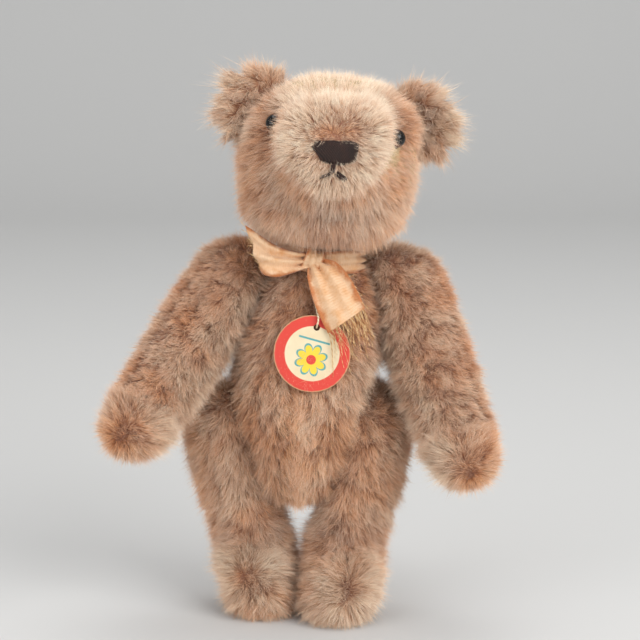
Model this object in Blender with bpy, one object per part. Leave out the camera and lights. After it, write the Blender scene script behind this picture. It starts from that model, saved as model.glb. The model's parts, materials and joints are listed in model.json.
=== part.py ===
"""An old jointed mohair teddy bear, standing, with a neck ribbon and a round swing tag.

Head, arms and legs each turn on a disc joint: two hardboard discs with a steel washer behind each,
drawn together by a cotter pin through the cloth. Every cover is a sewn mohair skin with its pile in
tufts, open only at its pin holes, round its own filling. The bear faces -Y and its left is at +X.
Lengths are in millimetres and become metres as each mesh is made.
"""

import math
import random

import bmesh
import bpy
from mathutils import Matrix, Vector

MM = 0.001

# Heights and widths of the trunk
NECK_Z = 118.3
SHOULDER_Z = 103.0
HIP_Z = 58.0
CROTCH_Z = 33.5
PELVIS_X = -3.5
LEAN = 0.135
SHOULDER_HALF = 16.9
HIP_HALF = 14.2
BELLY_HALF_WIDTH = 21.8
BELLY_HALF_DEPTH = 21.6

# Head
HEAD_WIDTH = 56.0
HEAD_DEPTH = 52.0
HEAD_RISE = 25.5
HEAD_CENTRE = 27.0
CHEEK_DROP = 30.0
MUZZLE_OUT = 12.5
MUZZLE_SPREAD = 43.0
HEAD_ROLL = 8.0
HEAD_PITCH = 9.0
EAR_HALF_WIDTH = 11.2
EAR_REACH = 13.0
EAR_THICK = 5.6
EAR_ANGLE = 64.0
EAR_SINK = 3.2
EYE_RADIUS = 2.9
NOSE_DROP = 2.0
NOSE_SIDE = -1.0

# Limbs
ARM_LENGTH = 68.0
ARM_SPLAY = {"left": 14.8, "right": 29.6}
ARM_SWING = {"left": 20.0, "right": 22.0}
LEG_SPLAY = 15.5
STEP = {"left": 5.0, "right": -4.0}
LEG_GAP = 2.2
FOOT_LENGTH = 31.0

# Cloth, filling and joint hardware
COVER = 1.6
FIT = 0.3
TUFT = 2.2
DISC_THICK = 1.6
WASHER_THICK = 0.6
WASHER_RADIUS = 3.2
PIN_RADIUS = 0.8
PIN_HOLE = PIN_RADIUS + FIT
PIN_CURL = 1.7
DISC_RADIUS = {"neck": 7.0, "arm": 5.5, "leg": 6.4}

# Ribbon and tag
RIBBON_WIDTH = 13.5
RIBBON_THICK = 0.8
BAND_HEIGHT = 5.6
TAG_RADIUS = 11.6
TAG_THICK = 0.8
TAG_HOLE = 0.95
TAG_HOLE_DROP = 3.6
THREAD_RADIUS = 0.3

SIDES = {"left": 1.0, "right": -1.0}
DOWN = Vector((0, 0, -1))
FRONT = Vector((0, -1, 0))


def material(name, colour, roughness, metallic=0.0):
    """A plain finish for one piece."""
    finish = bpy.data.materials.new(name)
    finish.use_nodes = True
    shader = finish.node_tree.nodes["Principled BSDF"]
    shader.inputs["Base Color"].default_value = (*colour, 1.0)
    shader.inputs["Roughness"].default_value = roughness
    shader.inputs["Metallic"].default_value = metallic
    return finish


def empty(name, place=Vector(), parent=None):
    """A named place that pieces hang from."""
    mark = bpy.data.objects.new(name, None)
    mark.location = place * MM
    mark.parent = parent
    bpy.context.scene.collection.objects.link(mark)
    return mark


def finish_object(name, bm, finish, parent, smooth=35.0):
    """One node from a mesh whose points are in the bear's own millimetres."""
    origin = parent.location / MM
    for vert in bm.verts:
        vert.co = (vert.co - origin) * MM
    bmesh.ops.recalc_face_normals(bm, faces=bm.faces)
    mesh = bpy.data.meshes.new(name)
    bm.to_mesh(mesh)
    bm.free()
    mesh.shade_smooth()
    mesh.set_sharp_from_angle(angle=math.radians(smooth))
    node = bpy.data.objects.new(name, mesh)
    node.data.materials.append(finish)
    node.parent = parent
    bpy.context.scene.collection.objects.link(node)
    return node


def cutter(name, bm, parent):
    """A solid that only cuts its neighbours."""
    tool = finish_object(name, bm, bpy.data.materials[0], parent)
    tool.hide_render = True
    tool.display_type = "WIRE"
    return tool


def cut(node, tool, operation="DIFFERENCE"):
    """Cut or join one solid with another."""
    step = node.modifiers.new(tool.name, "BOOLEAN")
    step.operation = operation
    step.solver = "EXACT"
    step.object = tool


def smooth_step(t):
    t = min(1.0, max(0.0, t))
    return t * t * (3 - 2 * t)


def along(stations, t):
    """Smooth values at t through rows of (t, value, ...), flat at the two ends."""
    last = len(stations) - 1
    i = 0
    while i < last - 1 and t > stations[i + 1][0]:
        i += 1
    before, a, b, after = (stations[min(last, max(0, k))] for k in (i - 1, i, i + 1, i + 2))
    span = b[0] - a[0]
    u = min(1.0, max(0.0, (t - a[0]) / span))
    values = []
    for k in range(1, len(a)):
        rise_a = (b[k] - before[k]) / max(1e-6, b[0] - before[0]) * span
        rise_b = (after[k] - a[k]) / max(1e-6, after[0] - a[0]) * span
        values.append(
            (2 * u**3 - 3 * u**2 + 1) * a[k]
            + (u**3 - 2 * u**2 + u) * rise_a
            + (3 * u**2 - 2 * u**3) * b[k]
            + (u**3 - u**2) * rise_b
        )
    return values


def oval(angle, half_a, half_b, power):
    """A point on a rounded oval, as two lengths."""
    c, s = math.cos(angle), math.sin(angle)
    reach = (abs(c) ** power + abs(s) ** power) ** (-1 / power)
    return half_a * c * reach, half_b * s * reach


class Joint:
    """A disc joint: its centre, the direction from trunk to limb, and its disc size."""

    def __init__(self, name, centre, axis, disc, top=1000.0):
        self.name = name
        self.centre = centre
        self.axis = axis.normalized()
        self.disc = disc
        self.top = top

    def height(self, point):
        return (point - self.centre).dot(self.axis)

    def outside(self, point, gap):
        """The point moved out to the limb's side of the joint's plane where it isn't there yet."""
        return point + self.axis * max(0.0, gap - self.height(point))

    def inside(self, point, gap):
        """The point moved in to the trunk's side of the joint's plane, up to the limb's highest reach."""
        slack = 0.6 * max(0.0, point.z - self.top)
        return point - self.axis * max(0.0, self.height(point) + gap - slack)

    def turn(self):
        """A turn that stands +Z along the axis."""
        return self.axis.to_track_quat("Z", "Y").to_matrix().to_4x4()


def trunk_x(z):
    """The trunk's middle, which leans over above the hips."""
    return PELVIS_X + LEAN * max(0.0, z - HIP_Z)


def make_joints():
    joints = {}
    neck = Vector((LEAN * 0.75, 0, 1))
    joints["head"] = Joint("head", Vector((trunk_x(NECK_Z), 0, NECK_Z)), neck, DISC_RADIUS["neck"])
    for side, s in SIDES.items():
        splay = math.radians(ARM_SPLAY[side])
        centre = Vector((trunk_x(SHOULDER_Z) + s * SHOULDER_HALF, 0.5, SHOULDER_Z))
        axis = Vector((s * math.cos(splay), 0, math.sin(splay)))
        joints["arm_" + side] = Joint("arm_" + side, centre, axis, DISC_RADIUS["arm"])
        splay = math.radians(LEG_SPLAY)
        centre = Vector((PELVIS_X + s * HIP_HALF, 0, HIP_Z))
        axis = Vector((s * math.cos(splay), 0, -math.sin(splay)))
        joints["leg_" + side] = Joint("leg_" + side, centre, axis, DISC_RADIUS["leg"], HIP_Z + 17)
    return joints


def loft(rings, start, end, split=False):
    """A closed skin through equal rings, each end drawn to a point, in triangles if split."""
    bm = bmesh.new()
    loops = [[bm.verts.new(p) for p in ring] for ring in rings]
    count = len(loops[0])
    for lower, upper in zip(loops, loops[1:]):
        for i in range(count):
            j = (i + 1) % count
            bm.faces.new((lower[i], lower[j], upper[j], upper[i]))
    for loop, tip in ((loops[0], start), (loops[-1], end)):
        point = bm.verts.new(tip)
        for i in range(count):
            bm.faces.new((loop[i], loop[(i + 1) % count], point))
    if split:
        bmesh.ops.triangulate(bm, faces=bm.faces, quad_method="FIXED")
    bmesh.ops.recalc_face_normals(bm, faces=bm.faces)
    return bm


def add_tufts(bm, seed, nap, height_at, keep):
    """Raise the middle of each face into a lock of pile that leans along the nap."""
    rng = random.Random(seed)
    bm.normal_update()
    for face in list(bm.faces):
        middle = face.calc_center_median()
        height = height_at(middle) * rng.uniform(0.45, 1.0)
        if height < 0.25:
            continue
        lean = nap(middle)
        lean = lean - face.normal * lean.dot(face.normal)
        tip = keep(middle + face.normal * height + lean * height * rng.uniform(0.5, 1.1))
        corners = list(face.verts)
        bm.faces.remove(face)
        point = bm.verts.new(tip)
        for a, b in zip(corners, corners[1:] + corners[:1]):
            bm.faces.new((a, b, point))


def joint_cutters(joint, parent):
    """The pin's hole through the cloth, and the space for the discs within each filling."""
    pocket = COVER + DISC_THICK + WASHER_THICK + 2 * PIN_CURL + 6 * FIT
    hole = tube_between(joint, -COVER - 2, COVER + 2, PIN_HOLE, 8)
    space = tube_between(joint, -pocket, pocket, joint.disc + FIT, 12)
    return cutter(joint.name + "_hole", hole, parent), cutter(joint.name + "_pocket", space, parent)


def tube_between(joint, low, high, radius, sides):
    """A plain cylinder on a joint's axis."""
    bm = bmesh.new()
    bmesh.ops.create_cone(
        bm, cap_ends=True, segments=sides, radius1=radius, radius2=radius, depth=high - low
    )
    place = Matrix.Translation(joint.centre + joint.axis * (low + high) / 2) @ joint.turn()
    bmesh.ops.transform(bm, matrix=place, verts=bm.verts)
    return bm


# Trunk

def trunk_stations():
    """Rows of height, half width, half depth and the middle's place from front to back."""
    w, d = BELLY_HALF_WIDTH, BELLY_HALF_DEPTH
    return (
        (CROTCH_Z, 0.22 * w, 0.22 * d, 0.5),
        (CROTCH_Z + 3, 0.42 * w, 0.44 * d, 0.2),
        (CROTCH_Z + 9, 0.60 * w, 0.68 * d, -0.5),
        (HIP_Z - 6, 0.82 * w, 0.88 * d, -1.0),
        (HIP_Z + 8, 0.96 * w, d, -1.6),
        (HIP_Z + 20, w, d, -1.8),
        (HIP_Z + 31, w, 0.94 * d, -1.0),
        (SHOULDER_Z - 7, 0.98 * w, 0.84 * d, 0.0),
        (SHOULDER_Z, 0.90 * w, 0.77 * d, 0.6),
        (SHOULDER_Z + 5.4, 0.80 * w, 0.68 * d, 0.3),
        (NECK_Z - 7.7, 0.555 * w, 0.58 * d, 0.0),
        (NECK_Z - 5, 0.505 * w, 0.55 * d, 0.0),
        (NECK_Z, 0.495 * w, 0.54 * d, 0.0),
    )


def trunk_point(stations, joints, z, angle, inset):
    """A point of the trunk, pressed flat where a limb seats."""
    half_w, half_d, middle = along(stations, z)
    x, y = oval(angle, max(1.0, half_w - inset), max(1.0, half_d - inset), 2.3)
    level = smooth_step((z - SHOULDER_Z) / (NECK_Z - SHOULDER_Z))
    point = Vector((trunk_x(z) + x, middle + y, z - LEAN * 0.75 * level * x))
    for joint in joints.values():
        point = joint.inside(point, FIT / 2 + max(0.0, inset))
    return point


def trunk_skin(joints, inset, step, count):
    """The trunk's closed form, set in from its outer face, with rings at its stations and between."""
    stations = trunk_stations()
    low, high = CROTCH_Z + 1.2 * inset, NECK_Z
    heights = [low]
    for z in (row[0] for row in stations[1:]):
        between = max(1, round((z - heights[-1]) / step))
        heights += [heights[-1] + (z - heights[-1]) * (k + 1) / between for k in range(between)]
    rings = []
    for z in heights:
        rings.append(
            [trunk_point(stations, joints, z, 2 * math.pi * k / count, inset) for k in range(count)]
        )
    top = joints["head"].inside(Vector((trunk_x(high), 0, high)), FIT / 2 + inset)
    foot = Vector((trunk_x(low), 0.5, low - 1.2))
    return loft(rings, foot, top, inset > 0)


def trunk_tufts(point):
    """Pile height on the trunk: none under the ribbon, matted short on the chest."""
    if point.z > NECK_Z - 10:
        return 0.0
    if point.y < 0 and point.z > HIP_Z + 16:
        return 0.45 * TUFT
    return 0.8 * TUFT


# Head

class Head:
    """The head's own axes and its outer form, as a reach in each direction."""

    def __init__(self, joint):
        self.joint = joint
        self.centre = joint.centre + joint.axis * HEAD_CENTRE + Vector((0, -1.5, 0))
        roll = Matrix.Rotation(math.radians(HEAD_ROLL), 3, "Y")
        pitch = Matrix.Rotation(math.radians(-HEAD_PITCH), 3, "X")
        turn = roll @ pitch
        self.across = turn @ Vector((1, 0, 0))
        self.back = turn @ Vector((0, 1, 0))
        self.up = turn @ Vector((0, 0, 1))

    def reach(self, way):
        x, y, z = way.dot(self.across), way.dot(self.back), way.dot(self.up)
        rise = HEAD_RISE if z > 0 else CHEEK_DROP
        power = 2.25
        total = abs(2 * x / HEAD_WIDTH) ** power + abs(2 * y / HEAD_DEPTH) ** power
        ball = (total + abs(z / rise) ** power) ** (-1 / power)
        return ball + MUZZLE_OUT * self.muzzle(way) ** 0.9

    def muzzle(self, way):
        """How far a direction is within the muzzle, from 0 at its edge to 1 at its tip."""
        edge = math.cos(math.radians(MUZZLE_SPREAD))
        return smooth_step((-way.dot(self.back) - edge) / (1 - edge))

    def surface(self, way, lift=0.0):
        """A point on the head, lifted off it or, for its inner space, sunk deeper in the muzzle."""
        way = way.normalized()
        deeper = 1.2 * self.muzzle(way) if lift < -1 else 0.0
        return self.centre + way * (self.reach(way) + lift - deeper)

    def on_face(self, side, height, lift):
        """A point on the muzzle, from its tip across and up."""
        out = HEAD_DEPTH / 2 + MUZZLE_OUT
        return self.surface(-self.back * out + self.across * side + self.up * height, lift)

    def skin(self, inset, rows, count):
        """The head's closed form, flat where it seats on the neck."""
        pole = self.joint.axis
        side = pole.cross(FRONT).normalized()
        front = side.cross(pole).normalized()
        gap = FIT / 2 + max(0.0, inset)
        rings = []
        for i in range(1, rows):
            t = i / rows
            shift = math.sin(2 * math.pi * (t - 0.55)) + math.sin(2 * math.pi * 0.55)
            polar = math.pi * (t - 0.065 * shift)
            ring = []
            for k in range(count):
                turn = 2 * math.pi * (k + 0.5) / count
                turn -= 0.45 * math.sin(turn)
                flat = side * math.sin(turn) + front * math.cos(turn)
                way = flat * math.sin(polar) - pole * math.cos(polar)
                ring.append(self.joint.outside(self.surface(way, -inset), gap))
            rings.append(ring)
        base = self.joint.outside(self.surface(-pole, -inset), gap)
        return loft(rings, base, self.surface(pole, -inset), inset > 0)

    def ear_frame(self, s):
        """The ear's root, outward way, sideways way and facing way."""
        angle = math.radians(EAR_ANGLE)
        out = (self.across * s * math.sin(angle) + self.up * math.cos(angle)).normalized()
        facing = (-self.back + self.across * s * 0.25).normalized()
        along_edge = facing.cross(out).normalized()
        facing = out.cross(along_edge).normalized()
        return self.surface(out), out, along_edge, facing

    def eye_place(self, s):
        way = self.across * (s * 0.63 - 0.05) - self.back * 0.70 + self.up * 0.19
        return self.surface(way, -0.4)

    def tufts(self, point):
        """Pile height on the head: short at the nose, none at the ears' roots, eyes and neck."""
        if self.joint.height(point) < 4:
            return 0.0
        for s in SIDES.values():
            if (point - self.ear_frame(s)[0]).length < EAR_HALF_WIDTH + 4:
                return 0.0
            if (point - self.eye_place(s)).length < EYE_RADIUS + 3.5:
                return 0.0
        far = (point - self.on_face(NOSE_SIDE, -NOSE_DROP - 2.0, 0)).length
        return TUFT * smooth_step((far - 8) / 14)


def make_ear(name, head, s, finish, parent):
    """A cupped, shaggy pad whose foot is cut to the head's surface."""
    root, out, edge, facing = head.ear_frame(s)
    root = root - out * EAR_SINK
    rows, count = 8, 18
    rings = []
    for i in range(1, rows):
        tilt = math.pi * i / rows
        ring = []
        for k in range(count):
            turn = 2 * math.pi * k / count
            a, b = oval(turn, EAR_HALF_WIDTH, EAR_REACH, 2.2)
            spread = math.sin(tilt) ** 0.6
            cup = 3.2 * spread * spread
            level = -math.cos(tilt) * EAR_THICK / 2 + cup
            ring.append(root + edge * a * spread + out * b * spread + facing * level)
        rings.append(ring)
    bm = loft(rings, root - facing * EAR_THICK / 2, root + facing * EAR_THICK / 2)

    def height(point):
        return TUFT if (point - root).dot(out) > 4 else 0.0

    add_tufts(bm, 31 + int(s), lambda point: (point - root).normalized(), height, lambda p: p)
    return finish_object(name, bm, finish, parent)


def make_eye(name, head, s, finish, parent):
    """A round button eye."""
    bm = bmesh.new()
    bmesh.ops.create_uvsphere(bm, u_segments=12, v_segments=7, radius=EYE_RADIUS)
    bmesh.ops.translate(bm, vec=head.eye_place(s), verts=bm.verts)
    return finish_object(name, bm, finish, parent, 60)


def ball_cutter(name, centre, radius, parent):
    bm = bmesh.new()
    bmesh.ops.create_uvsphere(bm, u_segments=12, v_segments=7, radius=radius)
    bmesh.ops.translate(bm, vec=centre, verts=bm.verts)
    return cutter(name, bm, parent)


def skin_between(front, back):
    """A closed thin solid from two equal grids of points."""
    bm = bmesh.new()
    grids = [[[bm.verts.new(p) for p in row] for row in grid] for grid in (front, back)]
    rows, cols = len(front), len(front[0])
    for grid in grids:
        for i in range(rows - 1):
            for j in range(cols - 1):
                bm.faces.new((grid[i][j], grid[i][j + 1], grid[i + 1][j + 1], grid[i + 1][j]))
    border = [(0, j) for j in range(cols)] + [(i, cols - 1) for i in range(1, rows)]
    border += [(rows - 1, j) for j in range(cols - 2, -1, -1)]
    border += [(i, 0) for i in range(rows - 2, 0, -1)]
    for (i, j), (m, n) in zip(border, border[1:] + border[:1]):
        bm.faces.new((grids[0][i][j], grids[0][m][n], grids[1][m][n], grids[1][i][j]))
    bmesh.ops.recalc_face_normals(bm, faces=bm.faces)
    return bm


def make_nose(head, finish, parent):
    """The satin-stitched nose: upright threads in a patch that narrows to its foot."""
    stitches = 6
    heights = (3.5, 3.0, 0.6, -2.9, -3.4)
    front, back = [], []
    for n, height in enumerate(heights):
        t = (heights[0] - height) / (heights[0] - heights[-1])
        half = 6.7 - 3.7 * smooth_step(t)
        edge = n in (0, len(heights) - 1)
        front_row, back_row = [], []
        for k in range(2 * stitches + 1):
            side = half * (k / stitches - 1)
            valley = k % 2 == 0
            rise = 0.35 if edge or k in (0, 2 * stitches) else (0.9 if valley else 1.4)
            front_row.append(head.on_face(side + NOSE_SIDE, height - NOSE_DROP, FIT + rise))
            back_row.append(head.on_face(side + NOSE_SIDE, height - NOSE_DROP, FIT))
        front.append(front_row)
        back.append(back_row)
    return finish_object("nose_stitching", skin_between(front, back), finish, parent)


def sweep(points, radius, sides):
    """A round thread through the points, closed at both ends."""
    rings = []
    normal = Vector((0.31, 0.17, 0.94))
    for i, point in enumerate(points):
        way = (points[min(i + 1, len(points) - 1)] - points[max(i - 1, 0)]).normalized()
        a = (normal - way * normal.dot(way)).normalized()
        b = way.cross(a)
        normal = a
        ring = []
        for k in range(sides):
            angle = 2 * math.pi * k / sides
            ring.append(point + (a * math.cos(angle) + b * math.sin(angle)) * radius)
        rings.append(ring)
    return loft(rings, points[0], points[-1])


def make_mouth(head, finish, parent):
    """One upright stitch and two that slope away from its foot."""
    radius = 0.45
    lift = FIT + radius

    def path(*places):
        return [head.on_face(x + NOSE_SIDE, h - NOSE_DROP, lift) for x, h in places]

    stem = path((-0.3, -4.7), (-0.3, -5.6), (-0.3, -6.6))
    right = path((-0.2, -6.3), (-1.8, -7.2), (-3.4, -8.0))
    left = path((-0.4, -6.3), (1.4, -7.2), (3.2, -8.1))
    mouth = finish_object("mouth_stitching", sweep(stem, radius, 6), finish, parent)
    for name, line in (("mouth_right", right), ("mouth_left", left)):
        cut(mouth, cutter(name, sweep(line, radius, 6), parent), "UNION")
    return mouth


# Arms and legs

def arm_skin(side, joint, inset, rows, count):
    """An arm that bends a little forward, round at the shoulder and at the paw."""
    swing = math.radians(ARM_SWING[side])
    down = (DOWN - joint.axis * DOWN.dot(joint.axis)).normalized()
    front = (FRONT - joint.axis * FRONT.dot(joint.axis)).normalized()
    main = down * math.cos(swing) + front * math.sin(swing)
    bend = front * math.cos(swing) - down * math.sin(swing)
    stations = (
        (0.0, 0.0, 11.8, 12.8, 8.8),
        (0.25, -0.8, 12.2, 12.8, 9.6),
        (0.5, -1.0, 11.8, 11.6, 12.2),
        (0.75, 0.8, 10.6, 10.1, 13.9),
        (0.9, 2.6, 10.2, 9.5, 14.7),
        (1.0, 4.0, 9.8, 9.1, 14.9),
    )
    start, end = -12.2, ARM_LENGTH
    rings = []
    for i in range(1, rows):
        turn = math.pi * i / rows
        t = 0.5 - 0.5 * math.cos(turn) * (0.82 + 0.18 * math.cos(turn) ** 2)
        s = start + inset + (end - start - 2 * inset) * t
        near, far = (s - start - inset) / 12.5, (end - inset - s) / 10.0
        round_near = math.sqrt(max(0.0, 1 - max(0.0, 1 - near) ** 2))
        round_far = math.sqrt(max(0.0, 1 - max(0.0, 1 - far) ** 2))
        offset, depth, thick, middle = along(stations, (s - start) / (end - start))
        scale = round_near * round_far
        ring = []
        for k in range(count):
            angle = 2 * math.pi * (k + 0.5) / count
            a, b = oval(angle, (depth - inset) * scale, (thick - inset) * scale, 2.2)
            out = middle * round_near + b
            point = joint.centre + main * s + bend * (offset + a) + joint.axis * out
            ring.append(joint.outside(point, FIT / 2 + inset))
        rings.append(ring)
    ends = []
    for s, lift in ((start + inset, 0.35), (end - inset, 1.0)):
        offset, _, _, middle = along(stations, (s - start) / (end - start))
        ends.append(joint.centre + main * s + bend * offset + joint.axis * middle * lift)
    return loft(rings, ends[0], ends[1], inset > 0)


def leg_point(side, joint, z, angle, inset):
    """A point of the leg at one height: round thigh, narrow ankle, long flat-soled foot."""
    s = SIDES[side]
    heel, toe = 0.36 * FOOT_LENGTH, 0.64 * FOOT_LENGTH
    stations = (
        (0.0, heel - 1.0, toe - 0.5, 10.2, 12.6),
        (4.0, heel, toe + 0.8, 11.6, 12.6),
        (11.0, heel - 0.5, toe - 0.6, 11.8, 11.8),
        (17.0, heel - 1.4, toe - 6.0, 11.0, 10.6),
        (23.0, heel - 2.2, 0.44 * FOOT_LENGTH, 10.6, 9.8),
        (33.0, heel - 0.5, 0.37 * FOOT_LENGTH, 11.2, 9.6),
        (45.0, 12.8, 13.0, 12.0, 9.0),
        (HIP_Z, 14.0, 14.0, 12.2, 7.8),
        (HIP_Z + 7, 13.0, 13.0, 11.6, 7.0),
        (HIP_Z + 14.5, 12.4, 12.4, 10.8, 6.4),
    )
    back, fore, thick, middle = along(stations, z)
    crown = (HIP_Z + 14.5 - inset - z) / 12.0
    scale = math.sqrt(max(0.02, 1 - max(0.0, 1 - crown) ** 2))
    stance = STEP[side] * (1 - z / HIP_Z)
    x, y = oval(angle, (thick - inset) * scale, 1.0, 2.2)
    y *= ((fore if y < 0 else back) - inset) * scale
    plane_x = joint.centre.x - s * (HIP_Z - z) * math.tan(math.radians(LEG_SPLAY))
    point = Vector((plane_x + s * middle * scale + x, joint.centre.y - stance + y, z))
    point = joint.outside(point, FIT / 2 + inset)
    point.x = s * max(s * point.x, s * PELVIS_X + LEG_GAP / 2 + inset)
    point.z = max(point.z, inset)
    return point


def leg_skin(side, joint, inset, rows, count):
    high = HIP_Z + 14.5 - inset
    rings = []
    for i in range(rows):
        t = i / rows
        z = inset + (high - inset) * (1 - (1 - t) ** 1.35)
        turns = [2 * math.pi * (k + 0.5) / count for k in range(count)]
        rings.append([leg_point(side, joint, z, turn, inset) for turn in turns])
    sole = sum(rings[0], Vector()) / count
    sole.z = inset
    crown = sum(rings[-1], Vector()) / count
    crown.z = high
    return loft(rings, sole, crown, inset > 0)


# Joint hardware

def ring_solid(joint, low, high, inner, outer, sides):
    """A flat ring on the joint's axis."""
    bm = bmesh.new()
    turn = joint.turn()
    rings = []
    for level, radius in ((low, inner), (low, outer), (high, outer), (high, inner)):
        ring = []
        for k in range(sides):
            angle = 2 * math.pi * k / sides
            local = Vector((radius * math.cos(angle), radius * math.sin(angle), level))
            ring.append(bm.verts.new(joint.centre + (turn @ local)))
        rings.append(ring)
    for i in range(4):
        for k in range(sides):
            j = (k + 1) % sides
            a, b = rings[i], rings[(i + 1) % 4]
            bm.faces.new((a[k], a[j], b[j], b[k]))
    bmesh.ops.recalc_face_normals(bm, faces=bm.faces)
    return bm


def make_pin(joint, level, finish, parent):
    """A cotter pin: a round eye on the limb's side and two legs curled back inside the trunk."""
    turn = joint.turn()

    def place(x, y, z):
        return joint.centre + (turn @ Vector((x, y, z)))

    eye = level + FIT + 0.4
    shank = [place(0, 0, -level - FIT), place(0, 0, 0), place(0, 0, eye + 1.2)]
    pin = finish_object(joint.name + "_cotter_pin", sweep(shank, PIN_RADIUS, 6), finish, parent)
    head = tube_between(joint, eye, eye + 2.0, 2.2 * PIN_RADIUS, 6)
    cut(pin, cutter(joint.name + "_pin_eye", head, parent), "UNION")
    for s, end in ((-1, "_pin_leg_a"), (1, "_pin_leg_b")):
        curl = [place(s * 0.12, s * 0.05, -level + 0.7)]
        for k in range(4):
            a = math.pi * k / 4
            out = s * (0.12 + PIN_CURL * (1 - math.cos(a)))
            curl.append(place(out, s * 0.05, -level - 0.2 - PIN_CURL * math.sin(a)))
        curl.append(place(s * 2 * PIN_CURL, s * 0.05, -level - FIT - 0.5))
        legs = sweep(curl, 0.7 * PIN_RADIUS, 5)
        cut(pin, cutter(joint.name + end, legs, parent), "UNION")
    return pin


def make_hardware(joint, finishes, trunk, limb):
    """The two discs, two washers and the pin of one joint."""
    first = FIT / 2 + COVER + FIT
    second = first + DISC_THICK + FIT
    pieces = (
        ("_disc", first, first + DISC_THICK, joint.disc, 12, "hardboard"),
        ("_washer", second, second + WASHER_THICK, WASHER_RADIUS, 8, "steel"),
    )
    for suffix, low, high, radius, sides, look in pieces:
        outer = ring_solid(joint, low, high, PIN_HOLE, radius, sides)
        finish_object(joint.name + suffix + "_limb", outer, finishes[look], limb)
        inner = ring_solid(joint, -high, -low, PIN_HOLE, radius, sides)
        finish_object(joint.name + suffix + "_trunk", inner, finishes[look], trunk)
    make_pin(joint, second + WASHER_THICK, finishes["steel"], limb)


# Ribbon, tag and thread

def strip(rows, thick):
    """A thin ribbon through rows of points, each row across its width."""
    front, back = [], []
    last = len(rows) - 1
    for i, row in enumerate(rows):
        front_row, back_row = [], []
        for j, point in enumerate(row):
            way = rows[min(i + 1, last)][j] - rows[max(i - 1, 0)][j]
            across = row[min(j + 1, len(row) - 1)] - row[max(j - 1, 0)]
            normal = way.cross(across).normalized()
            front_row.append(point + normal * thick / 2)
            back_row.append(point - normal * thick / 2)
        front.append(front_row)
        back.append(back_row)
    return skin_between(front, back)


def band_solid(joints):
    """The neckband: a gathered ring round the trunk's neck."""
    stations = trunk_stations()
    bm = bmesh.new()
    count = 24
    low, high = NECK_Z - 1.5 - BAND_HEIGHT, NECK_Z - 1.5
    rings = []
    for z, inset in ((low, -0.5), (low, -1.4), ((low + high) / 2, -1.7), (high, -1.4), (high, -0.5)):
        half_w, half_d, middle = along(stations, z)
        ring = []
        for k in range(count):
            angle = 2 * math.pi * k / count
            gather = 0.25 * math.sin(7 * angle) if inset < -1 else 0.0
            x, y = oval(angle, half_w - inset + gather, half_d - inset + gather, 2.3)
            point = Vector((trunk_x(z) + x, middle + y, z - 0.08 * x))
            for side in SIDES:
                point = joints["arm_" + side].inside(point, FIT / 2)
            ring.append(bm.verts.new(point))
        rings.append(ring)
    for i in range(len(rings)):
        for k in range(count):
            j = (k + 1) % count
            a, b = rings[i], rings[(i + 1) % len(rings)]
            bm.faces.new((a[k], a[j], b[j], b[k]))
    bmesh.ops.recalc_face_normals(bm, faces=bm.faces)
    return bm


def tail(start, end, start_across, end_across, belly, folds, rows=6, cols=6):
    """A free end of the ribbon, pinched at the knot and opening to its full width."""
    grid = []
    for i in range(rows):
        t = i / (rows - 1)
        middle = start.lerp(end, t) + belly * math.sin(math.pi * t)
        across = start_across.lerp(end_across, smooth_step(t * 1.3))
        row = []
        for j in range(cols):
            u = 2 * j / (cols - 1) - 1
            fold = folds * math.cos(2.6 * math.pi * u) * (1 - 0.5 * t)
            row.append(middle + across * u / 2 + FRONT * fold)
        grid.append(row)
    return grid


def knot_place():
    z = NECK_Z - 1.5 - BAND_HEIGHT / 2
    return Vector((trunk_x(z) - 3.0, -0.55 * BELLY_HALF_DEPTH - 3.2, z))


def make_ribbon(joints, finish, parent):
    """Band, knot and two ends, one length of ribbon."""
    knot = knot_place()
    ribbon = finish_object("neck_ribbon", band_solid(joints), finish, parent)
    ball = bmesh.new()
    bmesh.ops.create_uvsphere(ball, u_segments=10, v_segments=7, radius=1.0)
    lean = Matrix.Rotation(math.radians(20), 4, "Y")
    shape = Matrix.Translation(knot) @ lean @ Matrix.Diagonal((3.4, 2.8, 3.9, 1))
    bmesh.ops.transform(ball, matrix=shape, verts=ball.verts)
    cut(ribbon, cutter("ribbon_knot", ball, parent), "UNION")
    right = tail(
        knot + Vector((-1.0, -0.6, 0.6)),
        knot + Vector((-17.6, -3.2, 3.4)),
        Vector((0.6, 0, 4.2)),
        Vector((-4.6, -1.0, RIBBON_WIDTH)),
        Vector((0, -1.6, 1.2)),
        0.9,
    )
    left = tail(
        knot + Vector((0.4, -1.2, -1.0)),
        knot + Vector((9.6, -10.6, -14.6)),
        Vector((4.2, 0, 1.0)),
        Vector((0.80 * RIBBON_WIDTH, -1.2, 0.58 * RIBBON_WIDTH)),
        Vector((-0.6, -3.6, 0)),
        0.9,
    )
    for name, grid in (("ribbon_right_end", right), ("ribbon_left_end", left)):
        cut(ribbon, cutter(name, strip(grid, RIBBON_THICK), parent), "UNION")
    return ribbon


def tag_place():
    """The tag's middle and its slope against the belly."""
    z = 0.735 * NECK_Z
    half_w, half_d, middle = along(trunk_stations(), z)
    centre = Vector((trunk_x(z) + 0.4, middle - half_d - 2.6, z))
    slope = Matrix.Rotation(math.radians(-9), 4, "X") @ Matrix.Rotation(math.radians(10), 4, "Y")
    return Matrix.Translation(centre) @ slope


def make_tag(finishes, parent):
    """A round card with a punched hole near its top."""
    place = tag_place()
    tag = finish_object("swing_tag", card(place, 36, TAG_RADIUS, TAG_THICK), finishes["card"], parent)
    hole = place @ Matrix.Translation((0, 0, TAG_RADIUS - TAG_HOLE_DROP))
    cut(tag, cutter("tag_punch", card(hole, 12, TAG_HOLE, 5 * TAG_THICK), parent))
    return tag


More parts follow.
